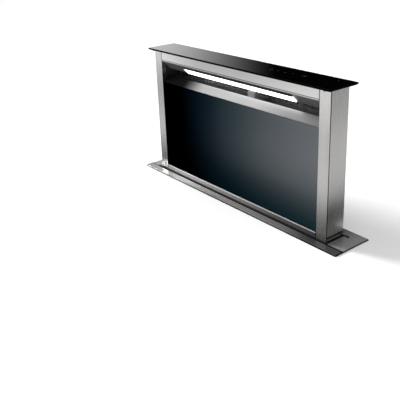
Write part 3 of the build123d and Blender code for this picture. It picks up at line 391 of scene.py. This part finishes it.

# %% [markdown]
# ## The trim plate
# The plate round the slot is polished, so it has hardly any relief and an even, low roughness. In
# front of the tower its colour has a painted reflection, a run of tones, and behind it a run of
# painted light and shade. Four dark lines in front are its pressed edge and the folds beside the
# seal. Its thin rim has painted shade, darker than its face. It is partly diffuse for the same
# reason as the rail.


# %% Polished plate with folds
# A painted reflection along the front strip of the plate.
FRONT_REFLECTION = (
    (-0.44, 0.4), (-0.33, 0.72), (-0.24, 1.25), (-0.14, 0.88),
    (-0.05, 0.67), (0.24, 0.6), (0.33, 0.2), (0.44, 0.22),
)
# Painted light and shade along the plate behind the front strip.
BACK_PAINTED_LIGHT = ((-0.44, 0.42), (0.36, 0.3), (0.42, 0.75))
TRIM_LINES = ((0.0, 0.004, 0.5), (0.009, 0.003, 0.65), (0.017, 0.003, 0.6), (0.0265, 0.005, 0.95))
TRIM_BACK = (-0.036, -0.03)
TRIM_METAL = 0.6
FACE_T = 0.0004
# Painted shade on the plate's thin rim.
RIM_SHADE = 0.2
trim_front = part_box("worktop_trim")[0].y
trim_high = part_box("worktop_trim")[1].z


# A painted reflection in front, painted light and shade behind, painted shade on the rim, and the dark
# fold lines.
def trim_folds_and_painted_light(steel):
    back = steel.axis("Y").soft(*TRIM_BACK)
    run = steel.along("X", FRONT_REFLECTION) * (1 - back) + steel.along("X", BACK_PAINTED_LIGHT) * back
    upper = (steel.axis("Z") > trim_high - FACE_T) * (1 - RIM_SHADE) + RIM_SHADE
    for place, width, depth in TRIM_LINES:
        upper = upper * steel.line("Y", trim_front + place, width, depth)
    return run * upper


trim_steel = brushed_steel(
    "polished_trim", "X", tone=0.6, gloss=0.125, fade=trim_folds_and_painted_light, relief=POLISHED, streaky=0.0, worn=0.05
)
trim_steel.set(metallic=TRIM_METAL, specular_ior_level=0.0)
dress(trim_steel, "worktop_trim")

# %% [markdown]
# ## Black glass
# The cap and the front panel are toughened glass, printed black on the back. Light is lost in the
# print, so the body is nearly black and the polished face does all the work. Faint wipe marks
# change the roughness a little, which is what makes a large dark face read as glass.
#
# The panel's colour has a painted reflection, a blue-grey that grows from left to right and fades
# towards the foot. Its shine is a coat that grows the same way. The cap's shine is on its upper
# face alone.


# %% Glass with wipe marks
WIPES = (3, 3, 11)
WIPE_ROUGH = 0.05
CLEAN_ROUGH = 0.015


def black_glass(name):
    glass = Finish(name)
    wipes = glass.noise(1.0, detail=4.0, where=glass.stretched(WIPES))
    glass.set(roughness=wipes * WIPE_ROUGH + CLEAN_ROUGH, specular_ior_level=0.0)
    return glass


PANEL_W = 0.69
PANEL_RISE = (0.02, 0.25)
SHINE_X = (-0.2, 0.3)
SHINE_Z = (0.0, 0.18)
SHINE_FOOT = 0.15
# A painted reflection in the panel's colour, and a fainter one near its foot.
PANEL_REFLECTION = (
    (0.15, (0, 0, 0)), (0.36, (0.002, 0.007, 0.0125)),
    (0.54, (0.013, 0.024, 0.031)), (1.0, (0.083, 0.09, 0.099)),
)
PANEL_FOOT_REFLECTION = ((0.2, (0, 0, 0)), (0.5, (0.001, 0.006, 0.009)), (1.0, (0.006, 0.017, 0.021)))
panel_glass = black_glass("panel_black_glass")
run = panel_glass.axis("X") / PANEL_W + 0.5
rise = panel_glass.axis("Z").soft(*PANEL_RISE)
foot_reflection = panel_glass.shades(run, PANEL_FOOT_REFLECTION)
panel_glass.set(base_color=panel_glass.mix(rise, foot_reflection, panel_glass.shades(run, PANEL_REFLECTION)))
shine = panel_glass.axis("X").soft(*SHINE_X) * panel_glass.axis("Z").soft(*SHINE_Z, SHINE_FOOT, 1.0)
panel_glass.set(coat_weight=shine, coat_roughness=0.03, coat_ior=1.4)
dress(panel_glass, "panel_glass")

# %% The cap's glass
SKIN = 0.0002
cap_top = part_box("cap_glass")[1].z
cap_glass = black_glass("cap_black_glass")
cap_glass.set(base_color=cap_glass.mix(cap_glass.noise(5.0), grey(0.0004), grey(0.0012)))
cap_glass.set(coat_weight=cap_glass.axis("Z") > cap_top - SKIN, coat_roughness=0.015, coat_ior=1.5)
dress(cap_glass, "cap_glass")

# %% [markdown]
# ## Galvanised sheet
# The casing and the blower box are hot-dip galvanised. The zinc freezes into flat crystals, each
# with its own shade of grey. Voronoi cells give the crystals, and their colour gives the shades.

# %% Zinc crystals
CRYSTAL = 0.012
CRYSTAL_SHARE = 0.6
ZINC_DARK = (0.33, 0.35, 0.37, 1)
ZINC_LIGHT = (0.6, 0.62, 0.65, 1)
ZINC_ROUGH = 0.32
zinc = Finish("galvanised_sheet")
cell_inputs = {"Vector": zinc.place, "Scale": 1 / CRYSTAL}
cells = zinc.node("ShaderNodeTexVoronoi", {}, cell_inputs, output="Color")
tone = zinc.node("ShaderNodeSeparateColor", {}, [cells])
dull = zinc.noise(4.0, detail=4.0)
shade = tone * CRYSTAL_SHARE + dull * (1 - CRYSTAL_SHARE)
zinc.set(base_color=zinc.mix(shade, ZINC_DARK, ZINC_LIGHT), metallic=0.9)
zinc.set(roughness=tone * 0.18 + dull * 0.1 + ZINC_ROUGH)
zinc.bump(dull, depth=0.0002)
dress(zinc, "casing_front", "casing_back", "casing_ends", "casing_base")
dress(zinc, "blower_box", "blower_lid", "scroll_housing", "impeller")
dress(zinc, "outlet_transition", "outlet_collar")

# %% [markdown]
# ## Paint, plastic, rubber and machined metal
# The rest are everyday finishes, each with its own scale of texture. Paint has a soft orange peel,
# and moulded plastic a fine spark pattern. Rubber is dull and slightly mottled. Turned, drawn and
# plated metal shows the marks of its tool, so it is made as the brushed steel is.


# %% Satin paint
PEEL_SCALE = 900.0
PATCH_SCALE = 12.0
PATCHY = 0.15


def satin_paint(name, tone, sheen):
    paint = Finish(name)
    peel = paint.noise(PEEL_SCALE, detail=1.0)
    patches = paint.noise(PATCH_SCALE, detail=3.0)
    paint.set(base_color=paint.mix(patches, grey(tone * (1 - PATCHY)), grey(tone * (1 + PATCHY))))
    paint.set(roughness=patches * 0.12 + sheen)
    paint.bump(peel, depth=0.00006)
    return paint


dark_paint = satin_paint("satin_black_paint", tone=0.004, sheen=0.45)
dark_paint.set(specular_ior_level=0.15)
cavity_paint = satin_paint("satin_grey_paint", tone=0.09, sheen=0.3)
duct_paint = satin_paint("satin_duct_paint", tone=0.02, sheen=0.35)
motor_paint = satin_paint("motor_paint", tone=0.045, sheen=0.35)
dress(dark_paint, "cap_frame", "panel_tray")
dress(cavity_paint, "cavity_roof")
dress(duct_paint, "duct_cheeks", "filter_frame")
dress(motor_paint, "lift_motor", "blower_motor")


# %% Moulded plastic and rubber
SPARK_SCALE = 2400.0
MOTTLE_SCALE = 20.0
MOTTLE_DARK = 0.88


def moulding(name, shade, sheen):
    plastic = Finish(name)
    spark = plastic.noise(SPARK_SCALE)
    mottle = plastic.noise(MOTTLE_SCALE)
    dark = [c * MOTTLE_DARK for c in shade]
    plastic.set(base_color=plastic.mix(mottle, (*dark, 1), (*shade, 1)))
    plastic.set(roughness=spark * 0.1 + sheen)
    plastic.bump(spark, depth=0.00005)
    return plastic


black_rubber = moulding("black_rubber", shade=(0.008, 0.008, 0.008), sheen=0.7)
black_rubber.set(specular_ior_level=0.1)
grey_plastic = moulding("grey_moulding", shade=(0.42, 0.43, 0.44), sheen=0.38)
catch_plastic = moulding("catch_moulding", shade=(0.16, 0.16, 0.165), sheen=0.5)
nylon = moulding("white_nylon", shade=(0.78, 0.77, 0.72), sheen=0.4)
black_plastic = moulding("black_moulding", shade=(0.025, 0.025, 0.027), sheen=0.4)
dress(black_rubber, "slot_seals", "belts", "cap_bumpers", "leg_pads")
dress(grey_plastic, "control_box", "control_lid")
dress(catch_plastic, "panel_catch")
dress(nylon, "runners", "belt_clamps", "bearing_blocks")
dress(black_plastic, "cable_gland", "filter_latch_r", "filter_latch_l")

# %% Metal with the marks of its tool
drawn_steel = brushed_steel("drawn_steel", "Z", tone=0.42, gloss=0.36)
shaft_steel = brushed_steel("ground_shaft", "X", tone=0.5, gloss=0.24)
screw_zinc = brushed_steel("plated_screws", "Y", tone=0.6, gloss=0.3)
cast_alloy = brushed_steel("cast_alloy", "X", tone=0.52, gloss=0.42)
filter_alloy = brushed_steel("filter_alloy", "X", tone=0.6, gloss=0.34)
dress(drawn_steel, "guide_rails", "foot_frame", "flap_pin")
dress(shaft_steel, "cross_shaft", "fan_shaft", "idler_pins", "panel_pins")
dress(screw_zinc, "case_screws", "clamp_brackets", "clamp_screws", "leg_studs")
dress(cast_alloy, "lift_gearbox", "drive_pulleys", "idler_pulleys")
dress(filter_alloy, "grease_filters", "flap_front", "flap_back")

# %% [markdown]
# ## The light strip and the touch board
# The strip is an opal cover over a row of diodes. It glows almost evenly, a little stronger over
# each diode, which a wave texture gives. That texture turns through `WAVE_RATE` radians in a metre
# at a scale of 1. A bezel along the strip's upper edge stays dark. The touch board is green lacquer
# with paler tracks.

# %% Opal light
DIODE_PITCH = 0.0754
WAVE_RATE = 20
BEZEL = 0.007
COOL_WHITE = (0.93, 0.96, 1.0, 1)
GLOW = 3.0
opal = Finish("opal_light")
wave_inputs = {"Vector": opal.place, "Scale": 2 * pi / (WAVE_RATE * DIODE_PITCH)}
diodes = opal.node("ShaderNodeTexWave", {"bands_direction": "X"}, wave_inputs)
lit = opal.axis("Z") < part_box("light_lens")[1].z - BEZEL
glow = opal.scaled(opal.mix(diodes, COOL_WHITE, grey(1.0)), lit)
opal.set(base_color=glow, emission_color=glow, emission_strength=GLOW, roughness=0.35)
dress(opal, "light_lens")

# %% Lacquered board
LACQUER = (0.006, 0.05, 0.02, 1)
TRACK = (0.03, 0.16, 0.07, 1)
TRACK_SCALE = (90, 400, 90)
lacquer = Finish("lacquered_board")
tracks = lacquer.noise(1.0, detail=0.0, where=lacquer.stretched(TRACK_SCALE))
lacquer.set(base_color=lacquer.mix(tracks, LACQUER, TRACK), roughness=0.3)
dress(lacquer, "touch_board")

# %% [markdown]
# ## The worktop and the floor
# The hood hangs in a cut-out of a plain worktop, which hides the casing as it does when the hood is
# built in. The slab starts as one face. Four cuts mark the hole's edges, the middle face is taken
# out, and the rest is extruded down.

# %% A slab with a hole
STAGE_REACH = 5.0
SLAB_T = 0.03
HOLE_GAP = 0.003
case_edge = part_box("casing_back")[1]
hole_x = case_edge.x + HOLE_GAP
hole_y = case_edge.y + HOLE_GAP
slab_mesh = bmesh.new()
bmesh.ops.create_grid(slab_mesh, x_segments=1, y_segments=1, size=STAGE_REACH)
for x, y in ((-hole_x, 0), (hole_x, 0), (0, -hole_y), (0, hole_y)):
    geometry = slab_mesh.verts[:] + slab_mesh.edges[:] + slab_mesh.faces[:]
    bmesh.ops.bisect_plane(slab_mesh, geom=geometry, plane_co=(x, y, 0), plane_no=(x, y, 0))
hole = [f for f in slab_mesh.faces if f.calc_center_median().length < hole_y]
bmesh.ops.delete(slab_mesh, geom=hole, context="FACES")


def thicken(mesh, thickness):
    """Gives flat faces a thickness downwards, with their normals outwards."""
    copied = bmesh.ops.extrude_face_region(mesh, geom=mesh.faces[:], use_keep_orig=True)["geom"]
    lower = [v for v in copied if isinstance(v, bmesh.types.BMVert)]
    bmesh.ops.translate(mesh, vec=(0, 0, -thickness), verts=lower)
    bmesh.ops.recalc_face_normals(mesh, faces=mesh.faces)


thicken(slab_mesh, SLAB_T)
print("slab has a hole of", round(2 * hole_x, 3), "by", round(2 * hole_y, 3), "m")

# %% [markdown]
# ## White paper
# The worktop and the floor are white paper with a faint mottle. To the camera they add a little
# light of their own, so that they read as white where they are lit and keep the tower's shadow.


# %% Paper on the slab and the floor
def finished(mesh, name, finish):
    """Turns a bmesh into an object at the origin with one finish."""
    data = bpy.data.meshes.new(name)
    mesh.to_mesh(data)
    mesh.free()
    data.materials.append(finish.material)
    made = bpy.data.objects.new(name, data)
    bpy.context.scene.collection.objects.link(made)
    print(name, "has", len(data.polygons), "faces")
    return made


PAPER_LIFT = 0.08
paper = Finish("white_paper")
paper.set(base_color=paper.mix(paper.noise(6.0), grey(0.9), grey(0.92)), roughness=0.9)
paper.set(emission_color=paper.mix(paper.ray("Camera"), grey(0.0), grey(1.0)))
paper.set(emission_strength=PAPER_LIFT)
slab = finished(slab_mesh, "worktop_slab", paper)
ground_mesh = bmesh.new()
bmesh.ops.create_grid(ground_mesh, x_segments=1, y_segments=1, size=STAGE_REACH)
bmesh.ops.translate(ground_mesh, vec=(0, 0, cad_box[0].z), verts=ground_mesh.verts)
ground = finished(ground_mesh, "studio_floor", paper)

# %% [markdown]
# ## Rubber lips round the tower
# The gap round the tower is closed by two L-shaped rubber lips that stand on the trim plate. Each
# ends in a short tail. Every run is a box with its upper edges rolled over by a bevel. The lips are
# low and stand off the walls, so the tower and its cap pass over them without a touch.


# %% Boxes with rolled edges
HAIR = 0.00001


def add_box(mesh, low, high):
    """Adds a box between two corners."""
    made = bmesh.ops.create_cube(mesh, size=1.0)["verts"]
    bmesh.ops.scale(mesh, vec=[b - a for a, b in zip(low, high)], verts=made)
    bmesh.ops.translate(mesh, vec=[(a + b) / 2 for a, b in zip(low, high)], verts=made)


def roll_over(mesh, width):
    """Bevels every upper edge of a mesh."""
    top = max(v.co.z for v in mesh.verts)
    rim = [e for e in mesh.edges if all(v.co.z > top - HAIR for v in e.verts)]
    bmesh.ops.bevel(
        mesh, geom=rim, offset=width, segments=3, profile=0.5, affect="EDGES", material=-1
    )


# %% Lips on the plate
LIP_W = 0.0032
LIP_H = 0.0019
LIP_GAP = 0.0004
LIP_ROLL = 0.0008
TAIL_L = 0.016
TAIL_IN = 0.003
TAIL_OUT = 0.0015
wall_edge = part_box("side_walls")[1]
in_x = wall_edge.x + LIP_GAP
in_y = wall_edge.y + LIP_GAP
out_x = in_x + LIP_W
out_y = in_y + LIP_W
lips = bmesh.new()
for low, high in (
    ((-out_x, -out_y), (out_x, -in_y)),
    ((in_x, -in_y), (out_x, in_y)),
    ((-out_x, in_y), (out_x, out_y)),
    ((-out_x, -in_y), (-in_x, in_y)),
    ((-out_x - TAIL_L, -out_y), (-out_x, -in_y)),
    ((out_x, out_y - TAIL_IN), (out_x + TAIL_L, out_y + TAIL_OUT)),
):
    add_box(lips, (*low, trim_high), (*high, trim_high + LIP_H))
roll_over(lips, LIP_ROLL)
seal_lips = finished(lips, "seal_lips", black_rubber)
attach(seal_lips, "base")

# %% [markdown]
# ## Touch symbols
# The keys are printed under the cap's glass near its right end, in a faint grey: a ring for the
# power, a minus, a plus, a small lamp that shows the speed, and a ring with rays for the light.
# Flat bars and rings make them all. The ink then gets a thickness, so that each is a closed solid.
# The plus is one bar and two short ones, because two bars that cross would lie in one another.


# %% Bars and rings
SYMBOL_Z = cap_top + 0.00008
STROKE = 0.0012
RING_STEPS = 32
UPRIGHT = radians(90)


def add_bar(mesh, x, y, length, turn=0.0):
    """A flat bar on the cap, centred and turned about its middle."""
    made = bmesh.ops.create_grid(mesh, x_segments=1, y_segments=1, size=0.5)["verts"]
    bmesh.ops.scale(mesh, vec=(length, STROKE, 1), verts=made)
    place = Matrix.Translation((x, y, SYMBOL_Z)) @ Matrix.Rotation(turn, 4, "Z")
    bmesh.ops.transform(mesh, matrix=place, verts=made)


def add_ring(mesh, x, y, radius, gap=0.0):
    """A flat ring on the cap. Gap is the angle left open at its back."""
    centre = Vector((x, y, SYMBOL_Z))
    outward = Matrix.Rotation(gap / 2, 3, "Z") @ Vector((0, 1, 0))
    pair = [mesh.verts.new(centre + outward * r) for r in (radius, radius - STROKE)]
    edge = mesh.edges.new(pair)
    bmesh.ops.spin(
        mesh, geom=[edge, *pair], cent=(x, y, 0), axis=(0, 0, 1), angle=2 * pi - gap,
        steps=RING_STEPS, use_merge=gap == 0,
    )


# %% Symbols on the cap
INK_T = 0.00006
INK_SCALE = 600.0
POWER_X, POWER_Y, POWER_R = 0.134, 0.003, 0.005
POWER_GAP = radians(70)
POWER_BAR = 0.004
MINUS_X, PLUS_X, SIGN_Y, SIGN_L = 0.160, 0.187, 0.004, 0.008
SPEED_X, SPEED_Y, SPEED_R = 0.210, 0.010, 0.0016
LIGHT_X, LIGHT_Y, LIGHT_R = 0.253, 0.008, 0.0035
BEAM_AT, BEAM_L = 0.0062, 0.0025
DOT_X, DOT_Y, DOT_R = 0.348, 0.031, 0.0018
symbols = bmesh.new()
add_ring(symbols, POWER_X, POWER_Y, POWER_R, POWER_GAP)
add_bar(symbols, POWER_X, POWER_Y + POWER_BAR, POWER_R, UPRIGHT)
add_bar(symbols, MINUS_X, SIGN_Y, SIGN_L)
add_bar(symbols, PLUS_X, SIGN_Y, SIGN_L)
half_bar = (SIGN_L - STROKE) / 2
for side in (-1, 1):
    add_bar(symbols, PLUS_X, SIGN_Y + side * (STROKE + half_bar) / 2, half_bar, UPRIGHT)
add_ring(symbols, SPEED_X, SPEED_Y, SPEED_R)
add_ring(symbols, LIGHT_X, LIGHT_Y, LIGHT_R)
for turn in [radians(degrees) for degrees in range(0, 360, 60)]:
    add_bar(symbols, LIGHT_X + BEAM_AT * cos(turn), LIGHT_Y + BEAM_AT * sin(turn), BEAM_L, turn)
add_ring(symbols, DOT_X, DOT_Y, DOT_R)
thicken(symbols, INK_T)
printed = Finish("printed_grey")
printed.set(base_color=printed.mix(printed.noise(INK_SCALE), grey(0.03), grey(0.05)), roughness=0.3)
marks = finished(symbols, "touch_symbols", printed)
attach(marks, "tower")

# %% [markdown]
# ## Screws
# Sheet metal is held by many small pan-head screws. One function makes a head as a short cylinder
# with a rolled edge. Cuts across its crown mark a cross, and the faces of the cross are sunk into
# the head. A loop sets the heads round each lid. `face` is how far a lid's face lies behind the front
# of its box.


# %% A pan head with a cross
HEAD_R = 0.0038
HEAD_T = 0.0018
HEAD_ROLL = 0.6 * HEAD_T
HEAD_SIDES = 20
LEVEL = 0.99
CROSS_W = 0.0004
CROSS_L = 0.0019
CROSS_DEEP = 0.0009


def crown_of(head):
    """The flat faces on top of a screw head."""
    level = [f for f in head.faces if abs(f.normal.z) > LEVEL]
    return [f for f in level if f.calc_center_median().z > HEAD_T - HAIR]


def add_screw(mesh, place, facing):
    """A pan head with a cross recess, its face turned to the given direction."""
    head = bmesh.new()
    bmesh.ops.create_cone(
        head, cap_ends=True, segments=HEAD_SIDES, radius1=HEAD_R, radius2=HEAD_R, depth=HEAD_T
    )
    bmesh.ops.translate(head, vec=(0, 0, HEAD_T / 2), verts=head.verts)
    roll_over(head, HEAD_ROLL)
    for normal in (Vector((1, 0, 0)), Vector((0, 1, 0))):
        for at in (-CROSS_L, -CROSS_W, CROSS_W, CROSS_L):
            crown = crown_of(head)
            edges = {e for f in crown for e in f.edges}
            corners = {v for f in crown for v in f.verts}
            geometry = [*corners, *edges, *crown]
            bmesh.ops.bisect_plane(head, geom=geometry, plane_co=normal * at, plane_no=normal)
    middles = {f: sorted(abs(c) for c in f.calc_center_median().xy) for f in crown_of(head)}
    cross = [f for f, (near, far) in middles.items() if near < CROSS_W and far < CROSS_L]
    sunk = bmesh.ops.extrude_face_region(head, geom=cross)["geom"]
    floor = [v for v in sunk if isinstance(v, bmesh.types.BMVert)]
    bmesh.ops.translate(head, vec=(0, 0, -CROSS_DEEP), verts=floor)
    bmesh.ops.delete(head, geom=cross, context="FACES")
    bmesh.ops.recalc_face_normals(head, faces=head.faces)
    turn = Vector((0, 0, 1)).rotation_difference(facing).to_matrix().to_4x4()
    bmesh.ops.transform(head, matrix=Matrix.Translation(place) @ turn, verts=head.verts)
    part = bpy.data.meshes.new("head")
    head.to_mesh(part)
    head.free()
    mesh.from_mesh(part)
    bpy.data.meshes.remove(part)


# %% Heads round the lids
def rim_places(low, high, inset, columns, rows):
    """Places round the edge of an upright rectangle, as pairs of x and z."""
    step_x = (high.x - low.x - 2 * inset) / (columns - 1)
    step_z = (high.z - low.z - 2 * inset) / (rows - 1)
    grid = [(i, j) for i in range(columns) for j in range(rows)]
    rim = [(i, j) for i, j in grid if i in (0, columns - 1) or j in (0, rows - 1)]
    return [(low.x + inset + step_x * i, low.z + inset + step_z * j) for i, j in rim]


FORWARD = Vector((0, -1, 0))
LIDS = (
    {"lid": "blower_lid", "inset": 0.018, "columns": 5, "rows": 4, "face": 0.003},
    {"lid": "control_lid", "inset": 0.012, "columns": 2, "rows": 2, "face": 0.0},
)
heads = bmesh.new()
for screws in LIDS:
    low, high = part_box(screws["lid"])
    for x, z in rim_places(low, high, screws["inset"], screws["columns"], screws["rows"]):
        add_screw(heads, (x, low.y + screws["face"], z), FORWARD)
lid_screws = finished(heads, "lid_screws", screw_zinc)
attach(lid_screws, "base")

# %% [markdown]
# ## Cards that only reflections see
# Polished steel and black glass have hardly any colour of their own: they show what stands round
# them. A photographer lays dark and light cards on the table, just out of frame. Here two cards lie
# on the worktop, seen by reflections alone. Both are dark close to the tower and light further
# off, so that every upright face darkens towards its foot.


# %% A card on the worktop
CARD_Z = 0.0006
CARD_GLOW = 2.0


def card(name, low, high, light):
    """A flat card on the worktop that glossy rays alone can see, and that glows by its light."""
    glow = Finish(name)
    glow.set(base_color=grey(0), roughness=1.0)
    glow.set(emission_color=light(glow), emission_strength=CARD_GLOW)
    mesh = bmesh.new()
    bmesh.ops.create_grid(mesh, x_segments=1, y_segments=1, size=0.5)
    size = (high[0] - low[0], high[1] - low[1], 1)
    middle = ((low[0] + high[0]) / 2, (low[1] + high[1]) / 2, CARD_Z)
    bmesh.ops.scale(mesh, vec=size, verts=mesh.verts)
    bmesh.ops.translate(mesh, vec=middle, verts=mesh.verts)
    made = finished(mesh, name, glow)
    made.visible_camera = False
    made.visible_diffuse = False
    made.visible_shadow = False
    made.visible_transmission = False


# %% The card in front
FRONT_LIGHT = (
    (-1.234, 0.6), (-1.054, 0.55), (-0.694, 0.26), (-0.394, 0.4),
    (-0.274, 0.36), (-0.19, 0.16), (-0.1132, 0.06), (-0.034, 0.02),
)
FRONT_CARD = ((-2.8, -2.2), (0.5, -0.068))
DIP_X = -1.4
DIP_SLOPE = 0.8
DIP_LOW = 0.6
DIP_HIGH = 1.1


def front_light(glow):
    """Light that grows towards the viewer, with a dip far to the left."""
    slope = abs(glow.axis("X") - DIP_X) * DIP_SLOPE + DIP_LOW
    dip = glow.node("ShaderNodeClamp", {}, [slope, DIP_LOW, DIP_HIGH])
    return glow.along("Y", FRONT_LIGHT) * dip


card("front_card", *FRONT_CARD, front_light)

# %% The card at the side
SIDE_LIGHT = (
    (0.38, 0.02), (0.53, 0.03), (0.56, 0.22), (0.608, 0.33),
    (0.704, 0.37), (0.944, 0.37), (1.112, 0.28), (1.34, 0.17),
)
SIDE_CARD = ((0.443, -0.068), (2.2, 2.2))


def side_light(glow):
    """Light that grows to the right, and fades again far off."""
    return glow.along("X", SIDE_LIGHT)


card("side_card", *SIDE_CARD, side_light)

# %% [markdown]
# ## A low sun
# A low sun on the left throws the long shadow to the right. Its angle is far wider than that of the
# real sun, which makes the shadow's edge soft.

# %% Sun
SUN_PATH = Vector((0.89, 0.26, -0.375))
SUN_POWER = 4.8
SUN_ANGLE = radians(20)
sun_data = bpy.data.lights.new("low_sun", "SUN")
sun_data.energy = SUN_POWER
sun_data.angle = SUN_ANGLE
sun = bpy.data.objects.new("low_sun", sun_data)
sun.matrix_world = SUN_PATH.to_track_quat("-Z", "Y").to_matrix().to_4x4()
bpy.context.scene.collection.objects.link(sun)
print("sun shines along", SUN_PATH[:])

# %% [markdown]
# ## A white sky with a studio for reflections
# The sky is plain white to the camera. Reflections see a dark studio instead, made of directions
# on the sky. One bright wall at the far left makes the cap pale at its left end and black at its
# right. The sky gets lighter upwards, more so behind the viewer of the photograph. A pale rim low
# in the sky, in front and to the right, lights the steel and the cap when they are seen from the
# other sides. The photograph's view mirrors hardly any of it.


# %% Sky
class Sky(Finish):
    """The world's nodes, with the same helpers. Its axes are directions, not places."""

    def __init__(self, target):
        self.tree = target.node_tree
        self.shader = self.tree.nodes["Background"]
        self.place = self.node("ShaderNodeTexCoord", output="Generated")


SKY_FILL = 0.68
WALL_IN, WALL_OUT = (1.02, 1.55), (1.9, 3.2)
WALL_GLOW, WALL_END = 1.4, 0.12
UPPER_IN, UPPER_GLOW = (0.28, 0.5), 0.2
BEHIND, BEHIND_GAIN = (-0.4, -0.05), 3.0
BESIDE = (-0.3, 0.3)
RIM_IN, RIM_OUT, RIM_REST = (0.04, 0.16), (0.26, 0.36), 0.5
AHEAD = 0.02
world = bpy.data.worlds.new("studio_world")
world.use_nodes = True
bpy.context.scene.world = world
sky = Sky(world)
x, y, z = (sky.axis(name) for name in "XYZ")
leftward = (x * -1) / y.maths("MAXIMUM", AHEAD / 2)
wall = leftward.soft(*WALL_IN, 0.0, WALL_GLOW) * leftward.soft(*WALL_OUT, 1.0, WALL_END) * (y > AHEAD)
behind = y.soft(*BEHIND, 1.0, 0.0)
upper = z.soft(*UPPER_IN, 0.0, UPPER_GLOW) * (behind * BEHIND_GAIN + 1.0)
beside = behind.maths("MAXIMUM", x.soft(*BESIDE))
rim = z.soft(*RIM_IN) * z.soft(*RIM_OUT, RIM_REST, 0.0) * beside
studio = wall.maths("MAXIMUM", upper + rim)
glossy = sky.ray("Glossy")
plain = sky.ray("Camera") * (1 - SKY_FILL) + SKY_FILL
sky.set(color=(1, 1, 1, 1), strength=glossy * studio + (1 - glossy) * plain)
print("sky has", len(sky.tree.nodes), "nodes")
